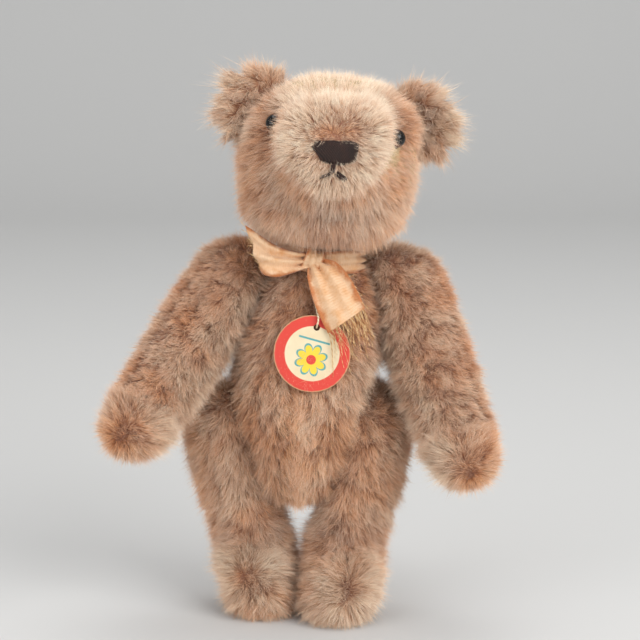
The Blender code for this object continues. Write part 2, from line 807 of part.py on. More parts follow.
def card(place, sides, radius, thick):
    """A flat round that faces forward."""
    bm = bmesh.new()
    flat = place @ Matrix.Rotation(math.radians(90), 4, "X")
    bmesh.ops.create_cone(
        bm, cap_ends=True, segments=sides, radius1=radius, radius2=radius, depth=thick, matrix=flat
    )
    return bm


def make_thread(finish, parent):
    """The tag's thread, through its hole and up behind the ribbon's knot."""
    place = tag_place()
    knot = knot_place()
    hole = TAG_RADIUS - TAG_HOLE_DROP
    start = knot + Vector((-1.0, -0.6, -5.2))
    finish_point = knot + Vector((0.5, 0.2, -5.0))
    loop = [
        start,
        start.lerp(place @ Vector((0, -1.4, hole + 3)), 0.5),
        place @ Vector((0, -1.4, hole + 3)),
        place @ Vector((0, -1.1, hole + 0.9)),
        place @ Vector((0, 0, hole)),
        place @ Vector((0, 1.1, hole + 0.9)),
        place @ Vector((0, 1.5, hole + 4)),
        finish_point.lerp(place @ Vector((0, 1.5, hole + 4)), 0.5),
        finish_point,
    ]
    path = []
    stations = [(float(i), *point) for i, point in enumerate(loop)]
    for k in range(2 * (len(loop) - 1) + 1):
        path.append(Vector(along(stations, k / 2)))
    return finish_object("tag_thread", sweep(path, THREAD_RADIUS, 5), finish, parent)


# Assembly

def make_cover(name, skin, cavity, holes, finish, parent, sockets=()):
    """A cloth cover: the tufted outer skin less its inner space and its pin holes."""
    cover = finish_object(name, skin, finish, parent, 50)
    for hole in sockets:
        cut(cover, hole)
    cut(cover, cutter(name + "_inside", cavity, parent))
    for hole in holes:
        cut(cover, hole)
    return cover


def make_filling(name, form, pockets, finish, parent):
    """The packed filling of one cover, a little inside its cloth, with space for each joint's discs."""
    form.normal_update()
    for vert in form.verts:
        vert.co -= vert.normal * 1.2 * FIT
    filling = finish_object(name, form, finish, parent)
    for pocket in pockets:
        cut(filling, pocket)
    return filling


def make_trunk(joints, tools, finishes, parent):
    outer = trunk_skin(joints, 0.0, 7, 20)

    def keep(point):
        for joint in joints.values():
            point = joint.inside(point, FIT / 2)
        return point

    add_tufts(outer, 11, lambda point: DOWN, trunk_tufts, keep)
    holes = [tools[name][0] for name in joints]
    pockets = [tools[name][1] for name in joints]
    cavity, form = trunk_skin(joints, COVER, 12, 15), trunk_skin(joints, COVER, 12, 15)
    make_cover("body_cover", outer, cavity, holes, finishes["mohair"], parent)
    make_filling("body_filling", form, pockets, finishes["filling"], parent)


def make_head(head, tools, finishes, parent):
    joint = head.joint
    outer = head.skin(0.0, 16, 24)
    nap_to = head.centre - head.back * 60

    def nap(point):
        return (point - nap_to).normalized() if (point - head.centre).dot(head.back) < 0 else DOWN

    add_tufts(outer, 23, nap, head.tufts, lambda p: joint.outside(p, FIT / 2))
    hole, pocket = tools["head"]
    sockets = []
    for side, s in SIDES.items():
        socket = ball_cutter("eye_socket_" + side, head.eye_place(s), EYE_RADIUS + FIT, parent)
        sockets.append(socket)
    cavity, form = head.skin(COVER, 13, 17), head.skin(COVER, 13, 17)
    make_cover("head_cover", outer, cavity, [hole], finishes["mohair"], parent, sockets)
    make_filling("head_filling", form, [pocket, *sockets], finishes["filling"], parent)
    seat = cutter("ear_seat", head.skin(-FIT, 16, 24), parent)
    for side, s in SIDES.items():
        cut(make_ear("ear_" + side, head, s, finishes["mohair"], parent), seat)
        make_eye("eye_" + side, head, s, finishes["glass"], parent)
    make_nose(head, finishes["thread"], parent)
    make_mouth(head, finishes["thread"], parent)


def make_limb(joint, form, seed, tools, finishes, parent):
    """One arm or leg: its cover and its filling, from the form's function."""
    side = joint.name.split("_")[1]
    outer = form(side, joint, 0.0, 14, 16)

    def height(point):
        if joint.height(point) < 2.0 or point.z < 2.5:
            return 0.0
        return TUFT * 0.9

    def keep(point):
        point = joint.outside(point, FIT / 2)
        point.z = max(point.z, 0.0)
        return point

    add_tufts(outer, seed, lambda point: DOWN, height, keep)
    hole, pocket = tools[joint.name]
    cavity, packed = form(side, joint, COVER, 10, 12), form(side, joint, COVER, 10, 12)
    make_cover(joint.name + "_cover", outer, cavity, [hole], finishes["mohair"], parent)
    make_filling(joint.name + "_filling", packed, [pocket], finishes["filling"], parent)


def make_finishes():
    return {
        "mohair": material("worn_mohair", (0.47, 0.29, 0.19), 0.95),
        "filling": material("packed_filling", (0.62, 0.52, 0.38), 0.95),
        "hardboard": material("hardboard", (0.23, 0.14, 0.08), 0.8),
        "steel": material("steel", (0.5, 0.5, 0.5), 0.35, 1.0),
        "glass": material("eye_black", (0.01, 0.008, 0.007), 0.08),
        "thread": material("dark_brown_thread", (0.045, 0.022, 0.016), 0.7),
        "ribbon": material("faded_ribbon", (0.86, 0.58, 0.36), 0.45),
        "card": material("printed_card", (0.75, 0.66, 0.45), 0.6),
        "cord": material("light_thread", (0.75, 0.68, 0.55), 0.8),
    }


def rest_on_ground(root):
    """Move the bear so that the middle of its footprint box is at the origin."""
    bpy.context.view_layer.update()
    graph = bpy.context.evaluated_depsgraph_get()
    low, high = Vector((1e9,) * 3), Vector((-1e9,) * 3)
    for node in bpy.context.scene.objects:
        if node.type != "MESH" or node.hide_render:
            continue
        shape = node.evaluated_get(graph)
        for vert in shape.data.vertices:
            point = shape.matrix_world @ vert.co
            low = Vector(map(min, low, point))
            high = Vector(map(max, high, point))
    root.location = Vector((-(low.x + high.x) / 2, -(low.y + high.y) / 2, -low.z))


def main():
    for old in list(bpy.data.objects):
        bpy.data.objects.remove(old, do_unlink=True)
    finishes = make_finishes()
    joints = make_joints()
    trunk = empty("trunk_origin")
    places = {name: empty(name + "_axis", joint.centre) for name, joint in joints.items()}
    tools = {name: joint_cutters(joint, trunk) for name, joint in joints.items()}
    make_trunk(joints, tools, finishes, trunk)
    make_head(Head(joints["head"]), tools, finishes, places["head"])
    for n, side in enumerate(SIDES):
        for limb, form, seed in (("arm_", arm_skin, 41 + n), ("leg_", leg_skin, 61 + n)):
            name = limb + side
            make_limb(joints[name], form, seed, tools, finishes, places[name])
    for name, joint in joints.items():
        make_hardware(joint, finishes, trunk, places[name])
    make_ribbon(joints, finishes["ribbon"], trunk)
    make_tag(finishes, trunk)
    make_thread(finishes["cord"], trunk)
    root = empty("bear_origin")
    for mark in (trunk, *places.values()):
        mark.parent = root
    rest_on_ground(root)


main()
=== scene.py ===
"""Looks of an old jointed mohair teddy bear: its pile, cloth, stitched face, ribbon and swing tag.

The bear faces -Y and its own left is at +X. All lengths are in metres.
"""

import json
import logging
import math
from dataclasses import dataclass, field
from enum import Enum
from typing import Any

import bmesh
import bpy
import numpy as np
from mathutils import Matrix, Vector
from mathutils.bvhtree import BVHTree

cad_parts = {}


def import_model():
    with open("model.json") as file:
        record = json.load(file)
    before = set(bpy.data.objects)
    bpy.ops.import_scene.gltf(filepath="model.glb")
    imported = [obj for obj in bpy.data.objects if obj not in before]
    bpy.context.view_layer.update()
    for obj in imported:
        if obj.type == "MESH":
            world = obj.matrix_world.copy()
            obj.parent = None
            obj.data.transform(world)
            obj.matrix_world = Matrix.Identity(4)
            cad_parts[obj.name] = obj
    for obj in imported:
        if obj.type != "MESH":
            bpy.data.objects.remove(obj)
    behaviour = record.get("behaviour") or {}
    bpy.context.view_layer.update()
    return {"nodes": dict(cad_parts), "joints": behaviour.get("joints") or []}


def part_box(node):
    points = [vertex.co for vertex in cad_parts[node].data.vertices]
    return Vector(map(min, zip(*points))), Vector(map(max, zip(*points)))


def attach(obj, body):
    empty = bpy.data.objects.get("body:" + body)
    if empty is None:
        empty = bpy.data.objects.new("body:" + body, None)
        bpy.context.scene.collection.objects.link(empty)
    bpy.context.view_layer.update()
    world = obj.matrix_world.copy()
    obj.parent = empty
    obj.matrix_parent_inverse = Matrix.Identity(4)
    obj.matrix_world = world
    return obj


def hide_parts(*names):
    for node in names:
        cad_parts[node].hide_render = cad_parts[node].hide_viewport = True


logging.basicConfig(level=logging.INFO, format="%(levelname)s %(message)s")
log = logging.getLogger("bear")

FRAME: dict[str, Any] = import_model()
DOWN = np.array((0.0, 0.0, -1.0))
RAY_REACH = 0.08
SOLE_HEIGHT = 0.0004
PILE_TABLE_ROWS = 4
COAT_ATTRIBUTES = ("nap", "pile", "thick", "tone", "warm")
STRAND_ATTRIBUTES = {"pull", "curl", "reach", "shade", "cast", "rise", "side", *COAT_ATTRIBUTES}


class Side(Enum):
    """The bear's own sides, by their place along X."""

    LEFT = 1
    RIGHT = -1

    @property
    def word(self) -> str:
        """The side's name in lower case."""
        return self.name.lower()


class Dye(Enum):
    """The four casts of the pile, in the rows of its colour table."""

    CREAM = 0.125
    GREY = 0.375
    TAN = 0.625
    RUST = 0.875


def linear(red: float, green: float, blue: float) -> tuple[float, float, float, float]:
    """A display colour, 0 to 255, as the renderer's linear colour.

    Args:
        red: The red part.
        green: The green part.
        blue: The blue part.

    Returns:
        The colour with full alpha.
    """
    parts = []
    for part in (red, green, blue):
        share = part / 255
        parts.append(share / 12.92 if share <= 0.04045 else ((share + 0.055) / 1.055) ** 2.4)
    return (parts[0], parts[1], parts[2], 1.0)


# Node graphs


class Value:
    """A socket that adds its own maths nodes as an expression is written."""

    def __init__(self, graph: "Graph", socket: Any) -> None:
        """Wrap one output socket of a graph."""
        self.graph = graph
        self.socket = socket

    def _math(self, operation: str, *others: Any, flip: bool = False) -> "Value":
        """Add one Math node.

        Args:
            operation: The node's operation.
            others: The other operands, as numbers or values.
            flip: Whether the first other operand comes first.

        Returns:
            The node's result.
        """
        operands = [self, *others]
        if flip:
            operands = [others[0], self, *others[1:]]
        inputs = {i: operand for i, operand in enumerate(operands)}
        return self.graph.node("ShaderNodeMath", {"operation": operation}, inputs)[0]

    def __add__(self, other: Any) -> "Value":
        """Sum."""
        return self._math("ADD", other)

    __radd__ = __add__

    def __sub__(self, other: Any) -> "Value":
        """Difference."""
        return self._math("SUBTRACT", other)

    def __rsub__(self, other: Any) -> "Value":
        """Difference from a number."""
        return self._math("SUBTRACT", other, flip=True)

    def __mul__(self, other: Any) -> "Value":
        """Product."""
        return self._math("MULTIPLY", other)

    __rmul__ = __mul__

    def __truediv__(self, other: Any) -> "Value":
        """Quotient."""
        return self._math("DIVIDE", other)

    def __pow__(self, other: Any) -> "Value":
        """Power."""
        return self._math("POWER", other)

    def above(self, edge: float) -> "Value":
        """One where the value is over the edge, or else zero."""
        return self._math("GREATER_THAN", edge)

    def largest(self, other: Any) -> "Value":
        """The larger of two."""
        return self._math("MAXIMUM", other)

    def smallest(self, other: Any) -> "Value":
        """The smaller of two."""
        return self._math("MINIMUM", other)

    def magnitude(self) -> "Value":
        """The value without its sign."""
        return self._math("ABSOLUTE")

    def floor(self) -> "Value":
        """The whole number below."""
        return self._math("FLOOR")

    def sine(self) -> "Value":
        """The sine, of radians."""
        return self._math("SINE")

    def rise(self, low: float, high: float) -> "Value":
        """A smooth step from 0 at low to 1 at high.

        Args:
            low: Where the step starts.
            high: Where it ends, which may be the lower of the two.

        Returns:
            The step, from 0 to 1.
        """
        inputs = {0: self, 1: low, 2: high, 3: 0.0, 4: 1.0}
        settings = {"interpolation_type": "SMOOTHSTEP"}
        return self.graph.node("ShaderNodeMapRange", settings, inputs)[0]


class Graph:
    """A node tree with one method for adding any node."""

    def __init__(self, tree: Any) -> None:
        """Keep the tree that the nodes go into."""
        self.tree = tree

    def node(
        self, kind: str, settings: dict[str, Any] | None = None, inputs: dict[Any, Any] | None = None
    ) -> list[Value]:
        """Add a node, set it up and fill its inputs.

        Args:
            kind: The node's type.
            settings: Its properties, set before its sockets.
            inputs: Its sockets by name or number, with numbers, colours, values or sockets.

        Returns:
            The node's outputs in order.
        """
        node = self.tree.nodes.new(kind)
        for name, value in (settings or {}).items():
            setattr(node, name, value)
        for key, value in (inputs or {}).items():
            socket = node.inputs[key]
            if isinstance(value, Value):
                self.tree.links.new(value.socket, socket)
            else:
                socket.default_value = value
        return [Value(self, socket) for socket in node.outputs]

    def vector(self, operation: str, first: Any, second: Any) -> Value:
        """A Vector Math node of two vectors."""
        return self.node("ShaderNodeVectorMath", {"operation": operation}, {0: first, 1: second})[0]

    def scaled(self, vector: Any, factor: Any) -> Value:
        """A vector times a number."""
        return self.node("ShaderNodeVectorMath", {"operation": "SCALE"}, {0: vector, 3: factor})[0]

    def mix(self, factor: Any, first: Any, second: Any, blend: str = "MIX") -> Value:
        """A colour between two colours."""
        settings = {"data_type": "RGBA", "blend_type": blend}
        return self.node("ShaderNodeMix", settings, {0: factor, 6: first, 7: second})[2]

    def ramp(self, factor: Value, stops: list[tuple[float, tuple]]) -> Value:
        """A colour from a ramp.

        Args:
            factor: The place along the ramp.
            stops: Rows of place and colour.

        Returns:
            The ramp's colour.
        """
        node = self.tree.nodes.new("ShaderNodeValToRGB")
        elements = node.color_ramp.elements
        while len(elements) < len(stops):
            elements.new(0.5)
        for element, (place, colour) in zip(elements, stops):
            element.position = place
            element.color = colour
        self.tree.links.new(factor.socket, node.inputs[0])
        return Value(self, node.outputs[0])

    def noise(self, place: Value, scale: float, detail: float = 3.0, rough: float = 0.55) -> Value:
        """A noise value at a place, from 0 to 1."""
        inputs = {"Vector": place, "Scale": scale, "Detail": detail, "Roughness": rough}
        return self.node("ShaderNodeTexNoise", {}, inputs)[0]

    def parts(self, vector: Value) -> list[Value]:
        """The three parts of a vector."""
        return self.node("ShaderNodeSeparateXYZ", {}, {0: vector})


class Finish(Graph):
    """A material with one Principled shader."""

    def __init__(self, name: str) -> None:
        """Start an empty material."""
        self.material = bpy.data.materials.new(name)
        self.material.use_nodes = True
        super().__init__(self.material.node_tree)
        self.tree.nodes.clear()

    def place(self) -> Value:
        """The object's own coordinates."""
        return self.node("ShaderNodeTexCoord")[3]

    def mapped(self, matrix: Matrix) -> Value:
        """Object coordinates seen from a piece's own place and turn.

        Args:
            matrix: The piece's place and turn.

        Returns:
            The coordinates from that place, along its own axes.
        """
        back = matrix.inverted()
        inputs = {0: self.place(), 1: tuple(back.to_translation()), 2: tuple(back.to_euler())}
        return self.node("ShaderNodeMapping", {"vector_type": "POINT"}, inputs)[0]

    def own_map(self, name: str) -> list[Value]:
        """The two parts of the piece's own UV map."""
        return self.parts(self.node("ShaderNodeUVMap", {"uv_map": name})[0])

    def bump(self, height: Value, distance: float, strength: float = 1.0) -> Value:
        """A normal from a height."""
        inputs = {"Strength": strength, "Distance": distance, "Height": height}
        return self.node("ShaderNodeBump", {}, inputs)[0]

    def shade(
        self, colour: Any, roughness: Any, normal: Value | None = None, **fixed: Any
    ) -> bpy.types.Material:
        """Join the shader up and return the material.

        Args:
            colour: The base colour.
            roughness: The roughness, as a number or a value.
            normal: The normal, or None for the plain surface.
            fixed: Uniform values by socket name, with _ for a space.

        Returns:
            The finished material.
        """
        inputs: dict[Any, Any] = {"Base Color": colour, "Roughness": roughness}
        if normal is not None:
            inputs["Normal"] = normal
        for name, value in fixed.items():
            inputs[name.replace("_", " ")] = value
        shader = self.node("ShaderNodeBsdfPrincipled", {}, inputs)[0]
        self.node("ShaderNodeOutputMaterial", {}, {"Surface": shader})
        return self.material


# Finishes


@dataclass(frozen=True)
class PileFinish:
    """Mohair fibre, coloured from a table of tone across and root to tip upwards, with painted shade at its
    roots and partly painted light at its tips.
    """

    # root: the colour that the strands darken towards near the cloth, painted shade deep in the pile
    root: tuple = linear(136, 76, 52)
    dark: tuple = linear(180, 130, 100)
    middle: tuple = linear(236, 194, 160)
    light: tuple = linear(252, 242, 226)
    casts: tuple = (
        linear(252, 250, 240),
        linear(240, 234, 222),
        linear(255, 239, 220),
        linear(255, 224, 182),
    )
    rows: int = PILE_TABLE_ROWS

    def make(self) -> bpy.types.Material:
        """Build the material."""
        g = Finish("mohair_pile")
        tone, high, _ = g.own_map("OFBake")
        level = high * self.rows
        row = level.floor()
        reach = level - row
        base = g.ramp(tone, [(0.0, self.dark), (0.5, self.middle), (1.0, self.light)])
        stops = [(dye.value, colour) for dye, colour in zip(Dye, self.casts)]
        cast = g.ramp((row + 0.5) / self.rows, stops)
        tinted = g.mix(1.0, base, cast, "MULTIPLY")
        # painted shade: each strand darkened towards the root colour near its root
        root_shaded = g.mix(reach.rise(-0.05, 0.6), g.mix(0.75, tinted, self.root), tinted)
        # the tips lightened: partly the pile's own pale tips, partly painted light shining through the fibre
        tips_pale_and_lit = g.mix(reach.rise(0.2, 0.95) * (0.66 - row * 0.12), root_shaded, self.light)
        return g.shade(
            tips_pale_and_lit,
            0.68 - reach * 0.10,
            Sheen_Weight=0.45,
            Sheen_Roughness=0.45,
            Sheen_Tint=linear(255, 242, 226),
            Specular_IOR_Level=0.3,
        )


@dataclass(frozen=True)
class ClothFinish:
    """The woven ground of the mohair, brown and rubbed, seen between the locks."""

    ground: tuple = linear(176, 124, 98)
    shade: tuple = linear(140, 92, 70)
    thread: float = 0.00045

    def make(self) -> bpy.types.Material:
        """Build the material."""
        g = Finish("mohair_ground_cloth")
        place = g.place()
        x, y, z = g.parts(place)
        turn = 2 * math.pi / self.thread
        weave = ((x + y) * turn).sine() * (z * turn).sine()
        soil_and_crease_shade = g.noise(place, 160.0, 4.0, 0.6)
        colour = g.mix(soil_and_crease_shade.rise(0.3, 0.7), self.shade, self.ground)
        colour = g.mix(weave.rise(-0.2, 1.0) * 0.3, colour, linear(170, 122, 92))
        return g.shade(colour, 0.9 - soil_and_crease_shade * 0.1, g.bump(weave * 0.5 + soil_and_crease_shade, 0.0002), Sheen_Weight=0.15)


@dataclass(frozen=True)
class SatinFinish:
    """Faded satin ribbon: fine cross ribs, pale where it is flat and golden brown along its edges."""

    pale: tuple = linear(238, 200, 162)
    peach: tuple = linear(220, 164, 112)
    worn: tuple = linear(184, 100, 40)
    ribs: int = 170

    def make(self) -> bpy.types.Material:
        """Build the material."""
        g = Finish("faded_satin_ribbon")
        across, along, _ = g.own_map("cloth")
        place = g.place()
        rib = (along * (2 * math.pi * self.ribs)).sine()
        warp = (across * (2 * math.pi * 46)).sine()
        stain = g.noise(place, 210.0, 4.0, 0.6)
        edge = (across * 2 - 1).magnitude()
        worn = (edge + (stain - 0.5) * 0.9).rise(0.66, 0.98)
        colour = g.mix(stain.rise(0.35, 0.72), self.pale, self.peach)
        colour = g.mix(worn * 0.85, colour, self.worn)
        colour = g.mix(rib.rise(-1.0, 1.0) * 0.10, colour, linear(214, 158, 104))
        roughness = 0.34 + worn * 0.3 + stain * 0.12
        height = rib * 0.5 + warp * 0.25 + stain * 1.6
        normal = g.bump(height, 0.00011, 0.8)
        return g.shade(colour, roughness, normal, Sheen_Weight=0.3, Sheen_Roughness=0.3, Anisotropic=0.4)


@dataclass(frozen=True)
class StrandFinish:
    """Twisted or floss thread in one dye, with its lay and a little fuzz."""

    name: str
    dark: tuple
    light: tuple
    lay: float = 1800.0
    roughness: float = 0.6
    sheen: float = 0.3

    def make(self) -> bpy.types.Material:
        """Build the material."""
        g = Finish(self.name)
        place = g.place()
        x, y, z = g.parts(place)
        lay = ((x + z * 0.6 + y) * (2 * math.pi * self.lay)).sine()
        soil_and_crease_shade = g.noise(place, 480.0, 3.0)
        colour = g.mix((lay * 0.25 + soil_and_crease_shade).rise(0.2, 0.9), self.dark, self.light)
        roughness = self.roughness + soil_and_crease_shade * 0.15
        return g.shade(colour, roughness, g.bump(lay + soil_and_crease_shade, 0.00006), Sheen_Weight=self.sheen)


@dataclass(frozen=True)
class EyeFinish:
    """Polished eye with a thin red-brown rim round its dark middle."""

    matrix: Matrix
    radius: float

    def make(self) -> bpy.types.Material:
        """Build the material."""
        g = Finish("polished_eye")
        x, _, z = g.parts(g.mapped(self.matrix))
        out = ((x * x + z * z) ** 0.5) / self.radius
        wear = g.noise(g.place(), 700.0, 4.0)
        iris = g.mix(wear, linear(58, 26, 14), linear(92, 44, 22))
        colour = g.mix(out.rise(0.70, 0.80), linear(10, 7, 6), iris)
        return g.shade(colour, 0.10 + wear * 0.08, g.bump(wear, 0.00002), Specular_IOR_Level=0.35)


@dataclass(frozen=True)
class CardFinish:
    """Printed card: a red rim, a cream field and a plain yellow flower, rubbed with age."""

    matrix: Matrix
    radius: float
    red: tuple = linear(214, 62, 48)
    cream: tuple = linear(231, 215, 180)
    yellow: tuple = linear(237, 205, 58)
    teal: tuple = linear(88, 160, 160)

    def flower(self, g: Finish, x: Value, z: Value) -> tuple[Value, Value]:
        """The flower's petals and its outline.

        Args:
            g: The graph.
            x: The place across the card, in card radii.
            z: The place up the card, in card radii.

        Returns:
            The petals' mask and the mask of the petals with their outline.
        """
        shifted = z + 0.16
        out = (x * x + shifted * shifted) ** 0.5
        turn = g.node("ShaderNodeMath", {"operation": "ARCTAN2"}, {0: shifted, 1: x})[0]
        lobe = (turn * 4.0).sine().magnitude() ** 0.6
        edge = 0.20 + lobe * 0.19
        return (edge - out).rise(-0.005, 0.012), (edge + 0.055 - out).rise(-0.005, 0.012)

    def make(self) -> bpy.types.Material:
        """Build the material."""
        g = Finish("printed_card")
        x, _, z = (part / self.radius for part in g.parts(g.mapped(self.matrix)))
        out = (x * x + z * z) ** 0.5
        rub = g.noise(g.place(), 900.0, 5.0, 0.65)
        stain = g.noise(g.place(), 120.0, 3.0)
        petals, outlined = self.flower(g, x, z)
        shifted = z + 0.16
        heart = (0.13 - (x * x + shifted * shifted) ** 0.5).rise(-0.005, 0.012)
        band = (z - 0.36 + x * 0.10).magnitude()
        line = (0.028 - band).rise(-0.004, 0.008) * (0.42 - x.magnitude()).rise(-0.01, 0.02)
        colour = g.mix(stain.rise(0.3, 0.75) * 0.35, self.cream, linear(206, 176, 128))
        colour = g.mix(line, colour, self.teal)
        colour = g.mix(outlined, colour, self.teal)
        colour = g.mix(petals, colour, self.yellow)
        colour = g.mix(heart, colour, self.red)
        rim = (out + (rub - 0.5) * 0.012).rise(0.705, 0.725)
        colour = g.mix(rim, colour, self.red)
        scuff = (rub + out * 0.12).rise(0.74, 0.88)
        colour = g.mix(scuff * 0.35, colour, linear(240, 222, 196))
        colour = g.mix((out + rub * 0.05).rise(0.985, 1.02), colour, linear(196, 150, 108))
        normal = g.bump(rub + stain, 0.00006)
        return g.shade(colour, 0.42 + rub * 0.2, normal, Coat_Weight=0.15, Coat_Roughness=0.3)


@dataclass(frozen=True)
class GrainFinish:
    """Pressed board, wood wool or steel of the parts inside, in two tones of one grain."""

    name: str
    dark: tuple
    light: tuple
    scale: float
    roughness: float
    metallic: float = 0.0

    def make(self) -> bpy.types.Material:
        """Build the material."""
        g = Finish(self.name)
        place = g.place()
        stretched = g.node("ShaderNodeMapping", {}, {0: place, 3: (1.0, 0.35, 2.2)})[0]
        grain = g.noise(stretched, self.scale, 6.0, 0.7)
        speck = g.noise(place, self.scale * 4, 2.0)
        colour = g.mix((grain * 0.7 + speck * 0.3).rise(0.3, 0.7), self.dark, self.light)
        return g.shade(colour, self.roughness + grain * 0.15, g.bump(grain, 0.0001), Metallic=self.metallic)


@dataclass(frozen=True)
class PlainStageFinish:
    """A pale, quiet ground."""

    name: str
    colour: tuple

    def make(self) -> bpy.types.Material:
        """Build the material."""
        g = Finish(self.name)
        tint = g.noise(g.place(), 3.0, 2.0)
        colour = g.mix(tint * 0.08, self.colour, linear(222, 218, 212))
        return g.shade(colour, 0.75)


# Geometry node trees


def link(name: str, mesh: bpy.types.Mesh) -> bpy.types.Object:
    """A new object in the scene, at the origin, with a mesh as its own."""
    piece = bpy.data.objects.new(name, mesh)
    bpy.context.scene.collection.objects.link(piece)
    return piece


def settled(piece: bpy.types.Object) -> bpy.types.Mesh:
    """A new mesh with a piece's modifiers applied."""
    graph = bpy.context.evaluated_depsgraph_get()
    return bpy.data.meshes.new_from_object(piece.evaluated_get(graph))


class ShapeTree(Graph):
    """A geometry node group with named inputs."""

    def __init__(self, name: str, sizes: dict[str, tuple[str, Any]]) -> None:
        """Start the group.

        Args:
            name: The group's name.
            sizes: Each input's name with its socket kind and default value.
        """
        super().__init__(bpy.data.node_groups.new(name, "GeometryNodeTree"))
        face = self.tree.interface
        face.new_socket("Geometry", in_out="INPUT", socket_type="NodeSocketGeometry")
        face.new_socket("Geometry", in_out="OUTPUT", socket_type="NodeSocketGeometry")
        self.keys: dict[str, str] = {}
        for label, (kind, default) in sizes.items():
            socket = face.new_socket(label, in_out="INPUT", socket_type="NodeSocket" + kind)
            if default is not None:
                socket.default_value = default
            self.keys[label] = socket.identifier
        self.given = {v.socket.name: v for v in self.node("NodeGroupInput") if v.socket.name}

    def end(self, shape: Value) -> None:
        """Make the result real, give it its material and close the group."""
        whole = self.node("GeometryNodeRealizeInstances", {}, {0: shape})[0]
        dressed = self.node("GeometryNodeSetMaterial", {}, {0: whole, "Material": self.given["Material"]})[0]
        self.node("NodeGroupOutput", {}, {0: dressed})

    def attribute(self, name: str, kind: str = "FLOAT") -> Value:
        """A named attribute's value."""
        return self.node("GeometryNodeInputNamedAttribute", {"data_type": kind}, {"Name": name})[0]

    def store(self, shape: Value, name: str, value: Any, kind: str = "FLOAT", domain: str = "POINT") -> Value:
        """Keep a value on the geometry under a name."""
        settings = {"data_type": kind, "domain": domain}
        inputs = {"Geometry": shape, "Name": name, "Value": value}
        return self.node("GeometryNodeStoreNamedAttribute", settings, inputs)[0]

    def chance(self, low: float, high: float, seed: Any) -> Value:
        """A random number for each element."""
        return self.node("FunctionNodeRandomValue", {"data_type": "FLOAT"}, {2: low, 3: high, 8: seed})[1]

    def chance_way(self, seed: Any) -> Value:
        """A random vector for each element, each part from -1 to 1."""
        inputs = {0: (-1.0, -1.0, -1.0), 1: (1.0, 1.0, 1.0), 8: seed}
        return self.node("FunctionNodeRandomValue", {"data_type": "FLOAT_VECTOR"}, inputs)[0]

    def run(self, base: bpy.types.Object, name: str, values: dict[str, Any]) -> bpy.types.Object:
        """Run the group on an object and keep the result as a plain mesh.

        Args:
            base: The object that the group starts from.
            name: The new piece's name.
            values: The inputs' values by name.

        Returns:
            The new piece.
        """
        step = base.modifiers.new("shape", "NODES")
        step.node_group = self.tree
        for label, value in values.items():
            step[self.keys[label]] = value
        mesh = settled(base)
        base.modifiers.remove(step)
        mesh.name = name
        return link(name, mesh)


